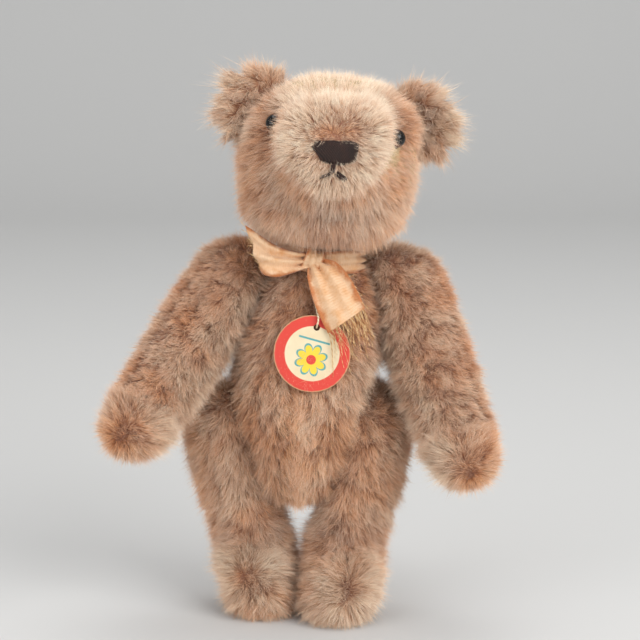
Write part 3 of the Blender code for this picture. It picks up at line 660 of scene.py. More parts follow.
class PileTree(ShapeTree):
    """Sows strands over a skin, leans them along its nap and draws them together in locks."""

    def __init__(self) -> None:
        """Build the group."""
        super().__init__(
            "pile",
            {
                "Density": ("Float", 6.0e6),
                "Length": ("Float", 1.0),
                "Width": ("Float", 0.00013),
                "Lean": ("Float", 0.8),
                "Scatter": ("Float", 0.35),
                "Wander": ("Float", 1.6),
                "Lock Size": ("Float", 0.003),
                "Lock Pull": ("Float", 0.35),
                "Lock Turn": ("Float", 0.5),
                "Lock Tone": ("Float", 0.3),
                "Droop": ("Float", 0.25),
                "Curl": ("Float", 0.5),
                "Seed": ("Int", 1),
                "Strand": ("Object", None),
                "Material": ("Material", None),
            },
        )
        self.end(self.bend(self.plant()))

    def plant(self) -> Value:
        """Sow the points and stand a strand on each.

        Returns:
            The strands, made real.
        """
        given = self.given
        density = given["Density"] * self.attribute("thick")
        sown = self.node(
            "GeometryNodeDistributePointsOnFaces",
            {"distribute_method": "RANDOM"},
            {"Mesh": given["Geometry"], "Density": density, "Seed": given["Seed"]},
        )
        points, normal = sown[0], sown[1]
        place = self.node("GeometryNodeInputPosition")[0]
        nap = self.attribute("nap", "FLOAT_VECTOR")
        wander = self.node("ShaderNodeTexNoise", {}, {"Vector": place, "Scale": 230.0, "Detail": 2.0})[1]
        wander = self.vector("SUBTRACT", wander, (0.5, 0.5, 0.5))
        shaken = self.vector("ADD", place, self.scaled(wander, 0.004))
        cells = {"Vector": shaken, "Scale": given["Lock Size"] ** -1.0}
        _, dice, centre = self.node("ShaderNodeTexVoronoi", {"feature": "F1"}, cells)[:3]
        pull = self.vector("SUBTRACT", centre, shaken)
        own = self.vector("SUBTRACT", dice, (0.5, 0.5, 0.5))
        broad = self.noise(place, 75.0, 2.0)
        way = self.vector("ADD", normal, self.scaled(nap, given["Lean"] * (broad * 2.4 - 0.2)))
        way = self.vector("ADD", way, self.scaled(self.chance_way(3), given["Scatter"]))
        way = self.vector("ADD", way, self.scaled(wander, given["Wander"]))
        way = self.vector("ADD", way, self.scaled(own, given["Lock Turn"]))
        patch = self.noise(place, 170.0, 3.0)
        fine = self.noise(place, 520.0, 2.0)
        spread = self.chance(0.0, 1.0, 5)
        spread = spread * 0.45 + spread ** 8.0 * 0.45 + 0.6
        reach = self.attribute("pile") * given["Length"] * spread * (patch * 0.7 + 0.65)
        tone = self.attribute("tone") + (patch - 0.5) * 0.6 + (fine - 0.5) * 0.35 + self.chance(-0.2, 0.2, 7)
        tone = tone + self.parts(own)[0] * given["Lock Tone"]
        cast = self.attribute("warm") + self.chance(-0.18, 0.18, 9)
        cast = cast - (broad - 0.5) * 1.3 - (patch - 0.5) * 0.4
        kept = points
        for name, value, kind in (
            ("pull", pull, "FLOAT_VECTOR"),
            ("curl", self.chance_way(11), "FLOAT_VECTOR"),
            ("reach", reach, "FLOAT"),
            ("shade", tone.largest(0.02).smallest(0.98), "FLOAT"),
            ("cast", cast.largest(0.0).smallest(0.99), "FLOAT"),
        ):
            kept = self.store(kept, name, value, kind)
        turn = self.node("FunctionNodeAlignRotationToVector", {"axis": "Z"}, {"Vector": way})[0]
        settings = {"axis": "Y", "pivot_axis": "Z"}
        inputs = {"Rotation": turn, "Vector": normal}
        turn = self.node("FunctionNodeAlignRotationToVector", settings, inputs)[0]
        inputs = {0: (0.0, 0.0, 1.0), 1: self.chance(-0.7, 0.7, 13)}
        twist = self.node("FunctionNodeAxisAngleToRotation", {}, inputs)[0]
        turn = self.node("FunctionNodeRotateRotation", {"rotation_space": "LOCAL"}, {0: turn, 1: twist})[0]
        width = given["Width"] * self.chance(0.7, 1.3, 15)
        size = self.node("ShaderNodeCombineXYZ", {}, {0: width, 1: width, 2: self.attribute("reach")})[0]
        strand = self.node("GeometryNodeObjectInfo", {}, {"Object": given["Strand"]})
        shape = [value for value in strand if value.socket.type == "GEOMETRY"][0]
        inputs = {"Points": kept, "Instance": shape, "Rotation": turn, "Scale": size}
        stood = self.node("GeometryNodeInstanceOnPoints", {}, inputs)[0]
        return self.node("GeometryNodeRealizeInstances", {}, {0: stood})[0]

    def bend(self, strands: Value) -> Value:
        """Bend each strand towards its lock's middle and the floor, and lay out its colour table.

        Args:
            strands: The straight strands.

        Returns:
            The bent strands with their colour map.
        """
        given = self.given
        rise = self.attribute("rise")
        reach = self.attribute("reach")
        square = rise * rise
        drawn = self.scaled(self.attribute("pull", "FLOAT_VECTOR"), given["Lock Pull"] * square)
        fall = self.scaled(self.attribute("nap", "FLOAT_VECTOR"), reach * square * given["Droop"])
        curl = self.scaled(self.attribute("curl", "FLOAT_VECTOR"), reach * square * given["Curl"] * 0.4)
        shift = self.vector("ADD", self.vector("ADD", drawn, fall), curl)
        bent = self.node("GeometryNodeSetPosition", {}, {"Geometry": strands, "Offset": shift})[0]
        across = self.attribute("shade") + self.attribute("side") * 0.004
        row = (self.attribute("cast") * float(PILE_TABLE_ROWS)).floor()
        upwards = (row + 0.04 + rise * 0.92) / float(PILE_TABLE_ROWS)
        table = self.node("ShaderNodeCombineXYZ", {}, {0: across, 1: upwards})[0]
        return self.store(bent, "OFBake", table, "FLOAT2", "CORNER")


class ThreadTree(ShapeTree):
    """Turns lines into round thread of one thickness."""

    def __init__(self) -> None:
        """Build the group."""
        super().__init__(
            "thread",
            {"Radius": ("Float", 0.0002), "Sides": ("Int", 6), "Material": ("Material", None)},
        )
        line = self.node("GeometryNodeMeshToCurve", {}, {0: self.given["Geometry"]})[0]
        ring = self.node(
            "GeometryNodeCurvePrimitiveCircle", {"mode": "RADIUS"},
            {"Resolution": self.given["Sides"], "Radius": self.given["Radius"]},
        )[0]
        inputs = {"Curve": line, "Profile Curve": ring, "Fill Caps": True}
        tube = self.node("GeometryNodeCurveToMesh", {}, inputs)[0]
        self.end(self.node("GeometryNodeSetShadeSmooth", {}, {0: tube})[0])


# Shapes


def smooth_step(t: Any) -> Any:
    """A smooth step of a number or an array, from 0 to 1."""
    t = np.clip(t, 0.0, 1.0)
    return t * t * (3 - 2 * t)


def unit(vectors: np.ndarray) -> np.ndarray:
    """Vectors of length one."""
    return vectors / np.maximum(np.linalg.norm(vectors, axis=-1, keepdims=True), 1e-9)


def hump(values: Any, centre: float, width: float) -> Any:
    """One at the centre, falling smoothly to nothing past the width on either side."""
    return np.exp(-(((values - centre) / width) ** 2))


def near(points: np.ndarray, centre: np.ndarray, radius: float) -> np.ndarray:
    """One at the centre, falling smoothly to nothing past the radius."""
    return hump(np.linalg.norm(points - centre, axis=-1), 0.0, radius)


def middle_of(node: str) -> np.ndarray:
    """The middle of a CAD node's box."""
    low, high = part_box(node)
    return (np.array(low) + np.array(high)) / 2


def link_mesh(name: str, points: Any, faces: Any, edges: Any = ()) -> bpy.types.Object:
    """A new object from points and faces or edges.

    Args:
        name: The piece's name.
        points: Its points.
        faces: Its faces, as rows of point numbers.
        edges: Its loose edges.

    Returns:
        The object, at the origin.
    """
    mesh = bpy.data.meshes.new(name)
    mesh.from_pydata([tuple(p) for p in points], [tuple(e) for e in edges], [tuple(f) for f in faces])
    mesh.update()
    mesh.shade_smooth()
    return link(name, mesh)


def wear(piece: bpy.types.Object, material: bpy.types.Material) -> bpy.types.Object:
    """Give a piece its one material."""
    piece.data.materials.clear()
    piece.data.materials.append(material)
    return piece


def seat(piece: bpy.types.Object, body: str, slot: str, *nodes: str) -> bpy.types.Object:
    """Let a piece ride on its body and hide the CAD nodes that it stands for.

    Args:
        piece: The piece.
        body: The CAD body that it moves with.
        slot: The record's material slot; not used.
        nodes: The CAD nodes that it replaces.

    Returns:
        The piece.
    """
    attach(piece, body)
    if nodes:
        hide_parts(*nodes)
    log.info("%s: %d faces on %s", piece.name, len(piece.data.polygons), body)
    return piece


def threads(
    name: str, lines: list[list[Any]], radius: float, material: bpy.types.Material, sides: int = 6
) -> bpy.types.Object:
    """One piece of round thread along several lines.

    Args:
        name: The piece's name.
        lines: Rows of points, one row for each thread.
        radius: The thread's radius.
        material: Its material.
        sides: Its number of sides.

    Returns:
        The piece.
    """
    points: list[Any] = []
    edges: list[tuple[int, int]] = []
    for line in lines:
        first = len(points)
        points += [tuple(p) for p in line]
        edges += [(first + i, first + i + 1) for i in range(len(line) - 1)]
    base = link_mesh(name + "_line", points, [], edges)
    piece = ThreadTree().run(base, name, {"Radius": radius, "Sides": sides, "Material": material})
    bpy.data.objects.remove(base)
    return piece


class Strand(Enum):
    """The two kinds of strand: short and straight, or long enough to bend."""

    PLUSH = ((-0.5, 0), (0.5, 0), (0, 1))
    LONG = ((-0.5, 0), (0.5, 0), (0.42, 0.52), (-0.42, 0.52), (0, 1))

    def shape(self) -> bpy.types.Object:
        """One flat, tapering strand, a unit long, that carries its own rise and side."""
        points = [(x, 0.0, z) for x, z in self.value]
        faces = [(0, 1, 2)] if self is Strand.PLUSH else [(0, 1, 2, 3), (3, 2, 4)]
        shape = link_mesh("strand_" + self.name.lower(), points, faces)
        for name, values in (("rise", [p[2] for p in points]), ("side", [2.0 * p[0] for p in points])):
            attribute = shape.data.attributes.new(name, "FLOAT", "POINT")
            attribute.data.foreach_set("value", [float(v) for v in values])
        return shape


@dataclass
class Coat:
    """How the pile grows at each point of a skin."""

    nap: np.ndarray
    pile: np.ndarray
    thick: np.ndarray
    tone: np.ndarray
    warm: np.ndarray

    def write(self, mesh: bpy.types.Mesh, normals: np.ndarray) -> None:
        """Store the coat on a mesh, its nap laid along the surface."""
        flat = self.nap - normals * np.sum(self.nap * normals, axis=1, keepdims=True)
        nap = mesh.attributes.new("nap", "FLOAT_VECTOR", "POINT")
        nap.data.foreach_set("vector", unit(flat).astype(np.float32).ravel())
        for name in COAT_ATTRIBUTES[1:]:
            attribute = mesh.attributes.new(name, "FLOAT", "POINT")
            attribute.data.foreach_set("value", getattr(self, name).astype(np.float32))


@dataclass
class Skin:
    """A cover's outer cloth, felt on the CAD cover from outside and smoothed of its locks."""

    node: str
    start: np.ndarray
    end: np.ndarray
    radius: float
    rows: int = 76
    sides: int = 84
    smoothing: int = 14
    inset: float = 0.0015
    sole: bool = False

    def rays(self) -> tuple[np.ndarray, np.ndarray]:
        """The base and the way of each ray, in rows from end to end of a rounded rod."""
        axis = unit(self.end - self.start)
        length = float(np.linalg.norm(self.end - self.start))
        side = unit(np.cross(axis, np.array((0.0, 1.0, 0.013))))
        front = np.cross(axis, side)
        quarter = math.pi * self.radius / 2
        total = 2 * quarter + length
        bases, ways = [], []
        for i in range(1, self.rows):
            s = total * i / self.rows
            tilt = min(s, quarter) / self.radius + max(0.0, s - quarter - length) / self.radius
            base = self.start + axis * min(max(s - quarter, 0.0), length)
            for k in range(self.sides):
                turn = 2 * math.pi * k / self.sides
                flat = side * math.cos(turn) + front * math.sin(turn)
                bases.append(base)
                ways.append(flat * math.sin(tilt) - axis * math.cos(tilt))
        return np.array(bases), np.array(ways)

    def build(self, name: str) -> bpy.types.Object:
        """Feel the CAD cover and make the skin.

        Args:
            name: The skin's name.

        Returns:
            The skin, closed and facing out.
        """
        source = FRAME["nodes"][self.node].data
        points = [v.co.copy() for v in source.vertices]
        tree = BVHTree.FromPolygons(points, [tuple(p.vertices) for p in source.polygons])
        bases, ways = self.rays()
        axis = unit(self.end - self.start)
        bases = np.vstack([bases, self.start, self.end])
        ways = np.vstack([ways, -axis, axis])
        found = []
        for base, way in zip(bases, ways):
            hit = tree.ray_cast(Vector(base + way * RAY_REACH), Vector(-way), RAY_REACH)[0]
            found.append((np.array(hit) if hit else base + way * self.radius) - way * self.inset)
        grid = np.array(found[:-2]).reshape(self.rows - 1, self.sides, 3)
        low, high = found[-2], found[-1]
        for _ in range(self.smoothing):
            above = np.vstack([grid[1:], np.broadcast_to(high, (1, self.sides, 3))])
            below = np.vstack([np.broadcast_to(low, (1, self.sides, 3)), grid[:-1]])
            around = (np.roll(grid, 1, axis=1) + np.roll(grid, -1, axis=1)) / 2
            grid = 0.5 * grid + 0.25 * around + 0.125 * (above + below)
            low, high = grid[0].mean(axis=0), grid[-1].mean(axis=0)
        flat = grid.reshape(-1, 3)
        if self.sole:
            flat[:, 2] = np.maximum(flat[:, 2], SOLE_HEIGHT)
            low[2], high[2] = max(low[2], SOLE_HEIGHT), max(high[2], SOLE_HEIGHT)
        return self.closed(name, flat, low, high)

    def closed(self, name: str, flat: np.ndarray, low: np.ndarray, high: np.ndarray) -> bpy.types.Object:
        """Join the grid of points and its two poles into a skin."""
        faces: list[tuple[int, ...]] = []
        for i in range(self.rows - 2):
            for k in range(self.sides):
                a, b = i * self.sides + k, i * self.sides + (k + 1) % self.sides
                faces.append((a, b, b + self.sides, a + self.sides))
        first, last = len(flat), len(flat) + 1
        top = (self.rows - 2) * self.sides
        for k in range(self.sides):
            j = (k + 1) % self.sides
            faces.append((j, k, first))
            faces.append((top + k, top + j, last))
        piece = link_mesh(name, np.vstack([flat, low, high]), faces)
        face_out(piece)
        return piece


def face_out(piece: bpy.types.Object) -> None:
    """Turn a closed mesh's faces outwards."""
    bm = bmesh.new()
    bm.from_mesh(piece.data)
    bmesh.ops.recalc_face_normals(bm, faces=bm.faces)
    bm.to_mesh(piece.data)
    bm.free()
    piece.data.update()


def spots(piece: bpy.types.Object) -> tuple[np.ndarray, np.ndarray]:
    """A mesh's points and normals as arrays."""
    count = len(piece.data.vertices)
    points, normals = np.empty(count * 3), np.empty(count * 3)
    piece.data.vertices.foreach_get("co", points)
    piece.data.vertices.foreach_get("normal", normals)
    return points.reshape(-1, 3), normals.reshape(-1, 3)


def crease(points: np.ndarray, nodes: list[str], reach: float) -> np.ndarray:
    """How near each point is to other covers, where the pile is rubbed short and darkened as painted shade.

    Args:
        points: The skin's points.
        nodes: The CAD covers that it meets.
        reach: How wide the crease is.

    Returns:
        One against a cover, falling to nothing past the reach.
    """
    found = np.zeros(len(points))
    for node in nodes:
        mesh = FRAME["nodes"][node].data
        tree = BVHTree.FromPolygons([v.co for v in mesh.vertices], [tuple(p.vertices) for p in mesh.polygons])
        gaps = np.array([tree.find_nearest(Vector(p))[3] for p in points])
        found = np.maximum(found, hump(gaps, 0.0, reach))
    return found


@dataclass
class Workshop:
    """What all the parts of the bear share: finishes, the two strands and the pile's tree."""

    pile: bpy.types.Material = field(init=False)
    cloth: bpy.types.Material = field(init=False)
    tree: PileTree = field(init=False)
    strands: dict[Strand, bpy.types.Object] = field(init=False)

    def __post_init__(self) -> None:
        """Make the shared finishes and shapes."""
        self.pile = PileFinish().make()
        self.cloth = ClothFinish().make()
        self.tree = PileTree()
        self.strands = {kind: kind.shape() for kind in Strand}

    def grow(
        self, skin: bpy.types.Object, name: str, coat: Coat, count: int, seed: int,
        kind: Strand = Strand.PLUSH, **sizes: float,
    ) -> bpy.types.Object:
        """Grow the pile on a skin.

        Args:
            skin: The skin.
            name: The pile's name.
            coat: How it grows.
            count: About how many strands there are.
            seed: The seed of its sowing.
            kind: The kind of strand.
            sizes: Other inputs of the tree, by name with _ for a space.

        Returns:
            The pile as a plain mesh.
        """
        coat.write(skin.data, spots(skin)[1])
        areas = np.array([p.area * float(np.mean(coat.thick[list(p.vertices)])) for p in skin.data.polygons])
        values: dict[str, Any] = {
            "Density": count / float(areas.sum()),
            "Seed": seed,
            "Strand": self.strands[kind],
            "Material": self.pile,
        }
        for label, value in sizes.items():
            values[label.replace("_", " ")] = value
        piece = self.tree.run(skin, name, values)
        for spare in COAT_ATTRIBUTES:
            skin.data.attributes.remove(skin.data.attributes[spare])
        for spare in [a.name for a in piece.data.attributes if a.name in STRAND_ATTRIBUTES]:
            piece.data.attributes.remove(piece.data.attributes[spare])
        return wear(piece, self.pile)


# The bear's parts


@dataclass
class HeadPart:
    """The head: its cover, ears, eyes, stitched nose and mouth."""

    shop: Workshop
    strands: int = 186000
    ear_strands: int = 14000
    ear_set: dict[Side, np.ndarray] = field(
        default_factory=lambda: {
            Side.LEFT: np.array((-0.0025, -0.0005, 0.0006)),
            Side.RIGHT: np.array((0.0012, 0.0, -0.0018)),
        }
    )
    floss: StrandFinish = StrandFinish("nose_floss", linear(22, 10, 7), linear(60, 33, 23), 1500.0, 0.7, 0.02)

    def build(self) -> None:
        """Make every piece of the head."""
        self.nose = middle_of("nose_stitching")
        self.eyes = {side: middle_of("eye_" + side.word) for side in Side}
        low, high = (np.array(c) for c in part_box("head_cover"))
        middle = (low + high) / 2
        self.centre = np.array((middle[0], middle[1] + 0.006, low[2] * 0.48 + high[2] * 0.52))
        self.neck = low[2]
        self.cover()
        for side in Side:
            self.ear(side)
            self.eye(side)
        self.face()

    def cover(self) -> None:
        """The head's cloth and pile."""
        lean = np.array((0.0, 0.0, 0.003))
        form = Skin("head_cover", self.centre - lean, self.centre + lean, 0.028, 80, 92, 7, 0.0010)
        skin = form.build("head_cloth")
        self.model(skin)
        points, _ = spots(skin)
        front = smooth_step((self.centre[1] - 0.002 - points[:, 1]) / 0.018)
        bridge = self.bridge()
        radial = unit(points - bridge)
        disc = np.hypot(points[:, 0] - bridge[0], points[:, 2] - bridge[2])
        muzzle = front * smooth_step((0.0158 - disc) / 0.0022)
        jaw = smooth_step((self.neck + 0.020 - points[:, 2]) / 0.016)
        combed = radial * 0.6 + DOWN * 0.7
        nap = radial * muzzle[:, None] + combed * (1 - muzzle)[:, None]
        pile = 0.0036 - 0.0021 * muzzle * smooth_step((0.0150 - disc) / 0.013) + 0.0012 * jaw * (1 - muzzle)
        pile *= 1 - 0.6 * smooth_step((self.neck + 0.006 - points[:, 2]) / 0.005) * front
        pile -= 0.0012 * smooth_step((points[:, 2] - bridge[2] - 0.014) / 0.006)
        crown = smooth_step((points[:, 2] - bridge[2] - 0.001) / 0.008)
        crown *= smooth_step(1.85 - np.abs(points[:, 0] - bridge[0]) / 0.0125)
        forehead = smooth_step((self.centre[1] + 0.012 - points[:, 1]) / 0.016) * crown
        # painted light: the head a little lighter towards +X, the side that the key light falls on
        right = smooth_step((points[:, 0] - self.nose[0] + 0.010) / 0.024)
        tone = 0.37 + 0.03 * right + 0.24 * muzzle + 0.20 * forehead * (1 - muzzle)
        fringe = hump(points[:, 2] - self.nose[2], 0.0048, 0.0022) * front
        fringe *= smooth_step(1.6 - np.abs(points[:, 0] - self.nose[0]) / 0.006)
        tone -= 0.20 * fringe
        # painted shade: the pile under the muzzle darkened
        chin_shade = smooth_step((self.nose[2] - 0.011 - points[:, 2]) / 0.006)
        chin_shade *= smooth_step(1.5 - np.abs(points[:, 0] - self.nose[0]) / 0.006)
        tone -= 0.26 * chin_shade * front
        warm = Dye.TAN.value + (Dye.CREAM.value - Dye.TAN.value) * np.maximum(muzzle, forehead)
        warm += (Dye.RUST.value - warm) * np.clip(fringe * 0.9, 0, 1)
        thick = np.ones(len(points))
        across, high = np.abs(points[:, 0] - self.nose[0]), np.abs(points[:, 2] - self.nose[2])
        thick[(across < 0.0058) & (high < 0.0030) & (front > 0.5)] = 0.0
        for eye in self.eyes.values():
            ring = np.linalg.norm(points - eye, axis=1)
            thick[ring < 0.0034] = 0.0
            pile *= 1 - 0.60 * near(points, eye, 0.0056)
            # painted shade: the pile darkened round each eye, where it sits in a hollow
            tone -= 0.34 * near(points, eye, 0.0046)
        thick[points[:, 2] < self.neck + 0.0008] = 0.0
        soil_and_crease_shade = crease(points, ["ear_left", "ear_right"], 0.0030)
        # painted shade: the pile darkened in the creases against the ears
        tone -= 0.20 * soil_and_crease_shade
        coat = Coat(nap, pile, thick, tone, warm)
        fur = self.shop.grow(
            skin, "head_pile", coat, self.strands, 11,
            Lean=0.6, Lock_Size=0.0021, Lock_Pull=0.4, Lock_Turn=0.45,
        )
        seat(wear(skin, self.shop.cloth), "head", "worn_mohair", "head_cover")
        seat(fur, "head", "worn_mohair")

    def bridge(self) -> np.ndarray:
        """The middle of the muzzle, from which its pile is combed out."""
        return self.nose + np.array((0.0, 0.004, 0.0035))

    def model(self, skin: bpy.types.Object) -> None:
        """Press the crown down and a groove round the muzzle, and fill the jaw out to the neck."""
        points, normals = spots(skin)
        bridge = self.bridge()
        front = smooth_step((self.centre[1] - points[:, 1]) / 0.014)
        disc = np.hypot(points[:, 0] - bridge[0], points[:, 2] - bridge[2])
        groove = -0.0018 * hump(disc, 0.0180, 0.0024) + 0.0008 * hump(disc, 0.0135, 0.003)
        groove *= 1 - smooth_step((points[:, 2] - bridge[2] - 0.004) / 0.006)
        rise = points[:, 2] - self.neck
        jaw = hump(rise, 0.008, 0.007) * smooth_step(rise / 0.003)
        flat = normals * np.array((1.0, 1.0, 0.15))
        jaw *= 1 - 0.8 * smooth_step((points[:, 0] - self.centre[0]) / 0.014)
        moved = points + normals * (groove * front)[:, None] + flat * (0.0030 * jaw)[:, None]
        moved[:, 2] -= 0.0034 * smooth_step((points[:, 2] - self.nose[2] - 0.006) / 0.016)
        cheek = smooth_step((points[:, 0] - self.centre[0] - 0.008) / 0.014)
        cheek *= smooth_step((self.nose[2] + 0.006 - points[:, 2]) / 0.012)
        moved[:, 0] -= 0.0028 * cheek
        skin.data.vertices.foreach_set("co", moved.ravel())
        skin.data.update()

    def ear(self, side: Side) -> None:
        """One ear: a cupped pad, shaggy round its rim.

        Args:
            side: Which ear.
        """
        node = "ear_" + side.word
        source = link("ear_form", FRAME["nodes"][node].data.copy())
        bm = bmesh.new()
        bm.from_mesh(source.data)
        bmesh.ops.remove_doubles(bm, verts=bm.verts, dist=1e-6)
        bm.to_mesh(source.data)
        bm.free()
        remesh = source.modifiers.new("even", "REMESH")
        remesh.mode = "VOXEL"
        remesh.voxel_size = 0.0007
        soften = source.modifiers.new("soften", "SMOOTH")
        soften.factor = 0.7
        soften.iterations = 9
        mesh = settled(source)
        bpy.data.objects.remove(source)
        skin = link(node + "_cloth", mesh)
        mesh.shade_smooth()
        points, _ = spots(skin)
        points = points + self.ear_set[side]
        mesh.vertices.foreach_set("co", points.ravel())
        middle = points.mean(axis=0)
        out = unit(middle - self.centre)
        root = middle - out * 0.009
        nap = unit(points - root) * 0.9 + np.array((0.0, -0.15, -0.35))
        rim = smooth_step((np.linalg.norm(points - root, axis=1) - 0.008) / 0.010)
        inner = smooth_step((middle[1] - points[:, 1]) / 0.0025)
        ragged = 0.55 + 0.9 * np.sin(points[:, 0] * 1500 + 4 * np.sin(points[:, 2] * 1100)) ** 2
        pile = (0.0026 + 0.0032 * rim * ragged) - 0.0004 * inner
        # painted shade: the ear's front cup darkened inside its rim
        tone = 0.36 + 0.22 * rim - 0.10 * inner * (1 - rim)
        coat = Coat(nap, pile, np.ones(len(points)), tone, np.full(len(points), Dye.GREY.value + 0.10))
        fur = self.shop.grow(
            skin, node + "_pile", coat, self.ear_strands, 21 + side.value, Strand.LONG,
            Lean=0.7, Scatter=0.5, Wander=3.4, Curl=1.1,
            Lock_Size=0.0032, Lock_Pull=0.9, Lock_Turn=1.3, Lock_Tone=0.5,
        )
        seat(wear(skin, self.shop.cloth), "head", "worn_mohair", node)
        seat(fur, "head", "worn_mohair")

    def eye(self, side: Side) -> None:
        """One polished eye, in place of the CAD button.

        Args:
            side: Which eye.
        """
        node = "eye_" + side.word
        low, high = (np.array(c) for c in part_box(node))
        radius = float((high - low)[0]) / 2
        middle = Vector((low + high) / 2)
        bm = bmesh.new()
        bmesh.ops.create_uvsphere(bm, u_segments=40, v_segments=24, radius=radius)
        facing = (middle - Vector(self.centre)).normalized()
        turn = facing.to_track_quat("-Y", "Z").to_matrix().to_4x4()
        matrix = Matrix.Translation(middle) @ turn
        bmesh.ops.rotate(bm, matrix=Matrix.Rotation(math.pi / 2, 3, "X"), verts=bm.verts)
        bmesh.ops.transform(bm, matrix=matrix, verts=bm.verts)
        mesh = bpy.data.meshes.new(node + "_button")
        bm.to_mesh(mesh)
        bm.free()
        mesh.shade_smooth()
        piece = link(node + "_button", mesh)
        seat(wear(piece, EyeFinish(matrix, radius).make()), "head", "eye_black", node)

    def on_muzzle(self, tree: BVHTree, x: float, z: float, lift: float) -> Vector:
        """A point on the muzzle in front of a place across and up from the nose."""
        ahead = Vector((self.nose[0] + x, self.nose[1] - 0.05, self.nose[2] + z))
        hit = tree.ray_cast(ahead, Vector((0, 1, 0)), 0.09)[0]
        return (hit or Vector(self.nose)) + Vector((0, -lift, 0))

    def face(self) -> None:
        """The nose in upright satin stitches and the mouth in three long ones."""
        skin = bpy.data.objects["head_cloth"].data
        tree = BVHTree.FromPolygons([v.co for v in skin.vertices], [tuple(p.vertices) for p in skin.polygons])
        floss = self.floss.make()
        lines = []
        count = 30
        for layer, lift in ((0, 0.0010), (1, 0.0014)):
            for k in range(count):
                u = 2 * (k + 0.5 * layer) / (count - 1) - 1
                jitter = 0.0002 * math.sin(k * 12.9 + layer * 4)
                top = (u * 0.0066, 0.0026 - 0.0009 * u ** 6 + jitter)
                foot = (0.0008 + u * 0.0050, -0.0042 + (0.0016 if u < 0 else 0.0007) * abs(u) ** 2 + jitter)
                line = []
                for i in range(7):
                    t = i / 6
                    x = top[0] + (foot[0] - top[0]) * smooth_step(t)
                    z = top[1] + (foot[1] - top[1]) * t
                    ends = math.sqrt(max(0.0, 1 - (2 * t - 1) ** 4))
                    proud = lift * ends * math.sqrt(max(0.05, 1 - 0.8 * u * u))
                    line.append(self.on_muzzle(tree, x, z, proud + 0.0001))
                lines.append(line)
        nose = threads("nose_threads", lines, 0.00026, floss, 6)
        seat(nose, "head", "dark_brown_thread", "nose_stitching")
        strokes = []
        for start, end in (
            ((-0.0004, -0.0040), (-0.0006, -0.0062)),
            ((-0.0004, -0.0062), (-0.0042, -0.0078)),
            ((0.0004, -0.0064), (0.0034, -0.0086)),
        ):
            for shift in (-0.00034, 0.00034):
                line = []
                for i in range(7):
                    t = i / 6
                    x = start[0] + (end[0] - start[0]) * t + shift
                    z = start[1] + (end[1] - start[1]) * t + shift * 0.6
                    proud = 0.0006 + 0.0007 * math.sin(math.pi * min(1.0, t * 1.1))
                    line.append(self.on_muzzle(tree, x, z, proud))
                strokes.append(line)
        mouth = threads("mouth_threads", strokes, 0.00042, floss, 6)
        seat(mouth, "head", "dark_brown_thread", "mouth_stitching")


@dataclass
class TrunkPart:
    """The trunk: a full belly in matted pile."""

    shop: Workshop
    strands: int = 150000

    def build(self) -> None:
        """Make the trunk's cloth and pile."""
        low, high = (np.array(c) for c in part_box("body_cover"))
        pelvis = middle_of("leg_left_disc_trunk") * 0.5 + middle_of("leg_right_disc_trunk") * 0.5
        neck = middle_of("head_disc_trunk")
        start = np.array((pelvis[0], pelvis[1], low[2] + 0.016))
        end = np.array((neck[0] - 0.001, neck[1], high[2] - 0.010))
        skin = Skin("body_cover", start, end, 0.015, 72, 72, 8, 0.0002).build("body_cloth")
        points, normals = spots(skin)
        points[:, 2] += 0.0028 * smooth_step((low[2] + 0.010 - points[:, 2]) / 0.009)
        skin.data.vertices.foreach_set("co", points.ravel())
        front = smooth_step((pelvis[1] - points[:, 1]) / 0.012)
        height = (points[:, 2] - low[2]) / (high[2] - low[2])
        seam = hump(points[:, 0] - pelvis[0], 0.0016, 0.0014) * front
        belly = smooth_step((0.62 - height) / 0.2) * front
        parting = -0.9 * np.sign(points[:, 0] - pelvis[0]) * belly
        nap = DOWN + np.stack([parting, 0 * height, 0 * height], axis=1)
        side = smooth_step((np.abs(normals[:, 0]) - 0.45) / 0.35) * smooth_step((0.62 - height) / 0.2)
        pile = 0.0034 + 0.0008 * belly + 0.0005 * (1 - front) + 0.0016 * side
        pile *= 1 - 0.6 * smooth_step((0.10 - height) / 0.08)
        pile[height > 0.90] = 0.0012
        tone = 0.42 + 0.08 * belly + 0.12 * seam
        warm = np.full(len(points), Dye.TAN.value) + 0.10 * belly
        thick = np.where(height > 0.975, 0.0, 1.0)
        limbs = [f"{limb}_{side.word}_cover" for limb in ("arm", "leg") for side in Side]
        soil_and_crease_shade = crease(points, limbs, 0.0034)
        # painted shade: the pile darkened in the creases against the arms and legs, where it is also rubbed
        # short
        tone -= 0.34 * soil_and_crease_shade
        pile *= 1 - 0.3 * soil_and_crease_shade
        coat = Coat(nap, pile, thick, tone, warm)
        fur = self.shop.grow(
            skin, "body_pile", coat, self.strands, 31,
            Lean=0.6, Scatter=0.42, Wander=2.6, Curl=0.8,
            Lock_Size=0.0025, Lock_Pull=0.55, Lock_Turn=0.75, Lock_Tone=0.32,
        )
        seat(wear(skin, self.shop.cloth), "torso", "worn_mohair", "body_cover")
        seat(fur, "torso", "worn_mohair")


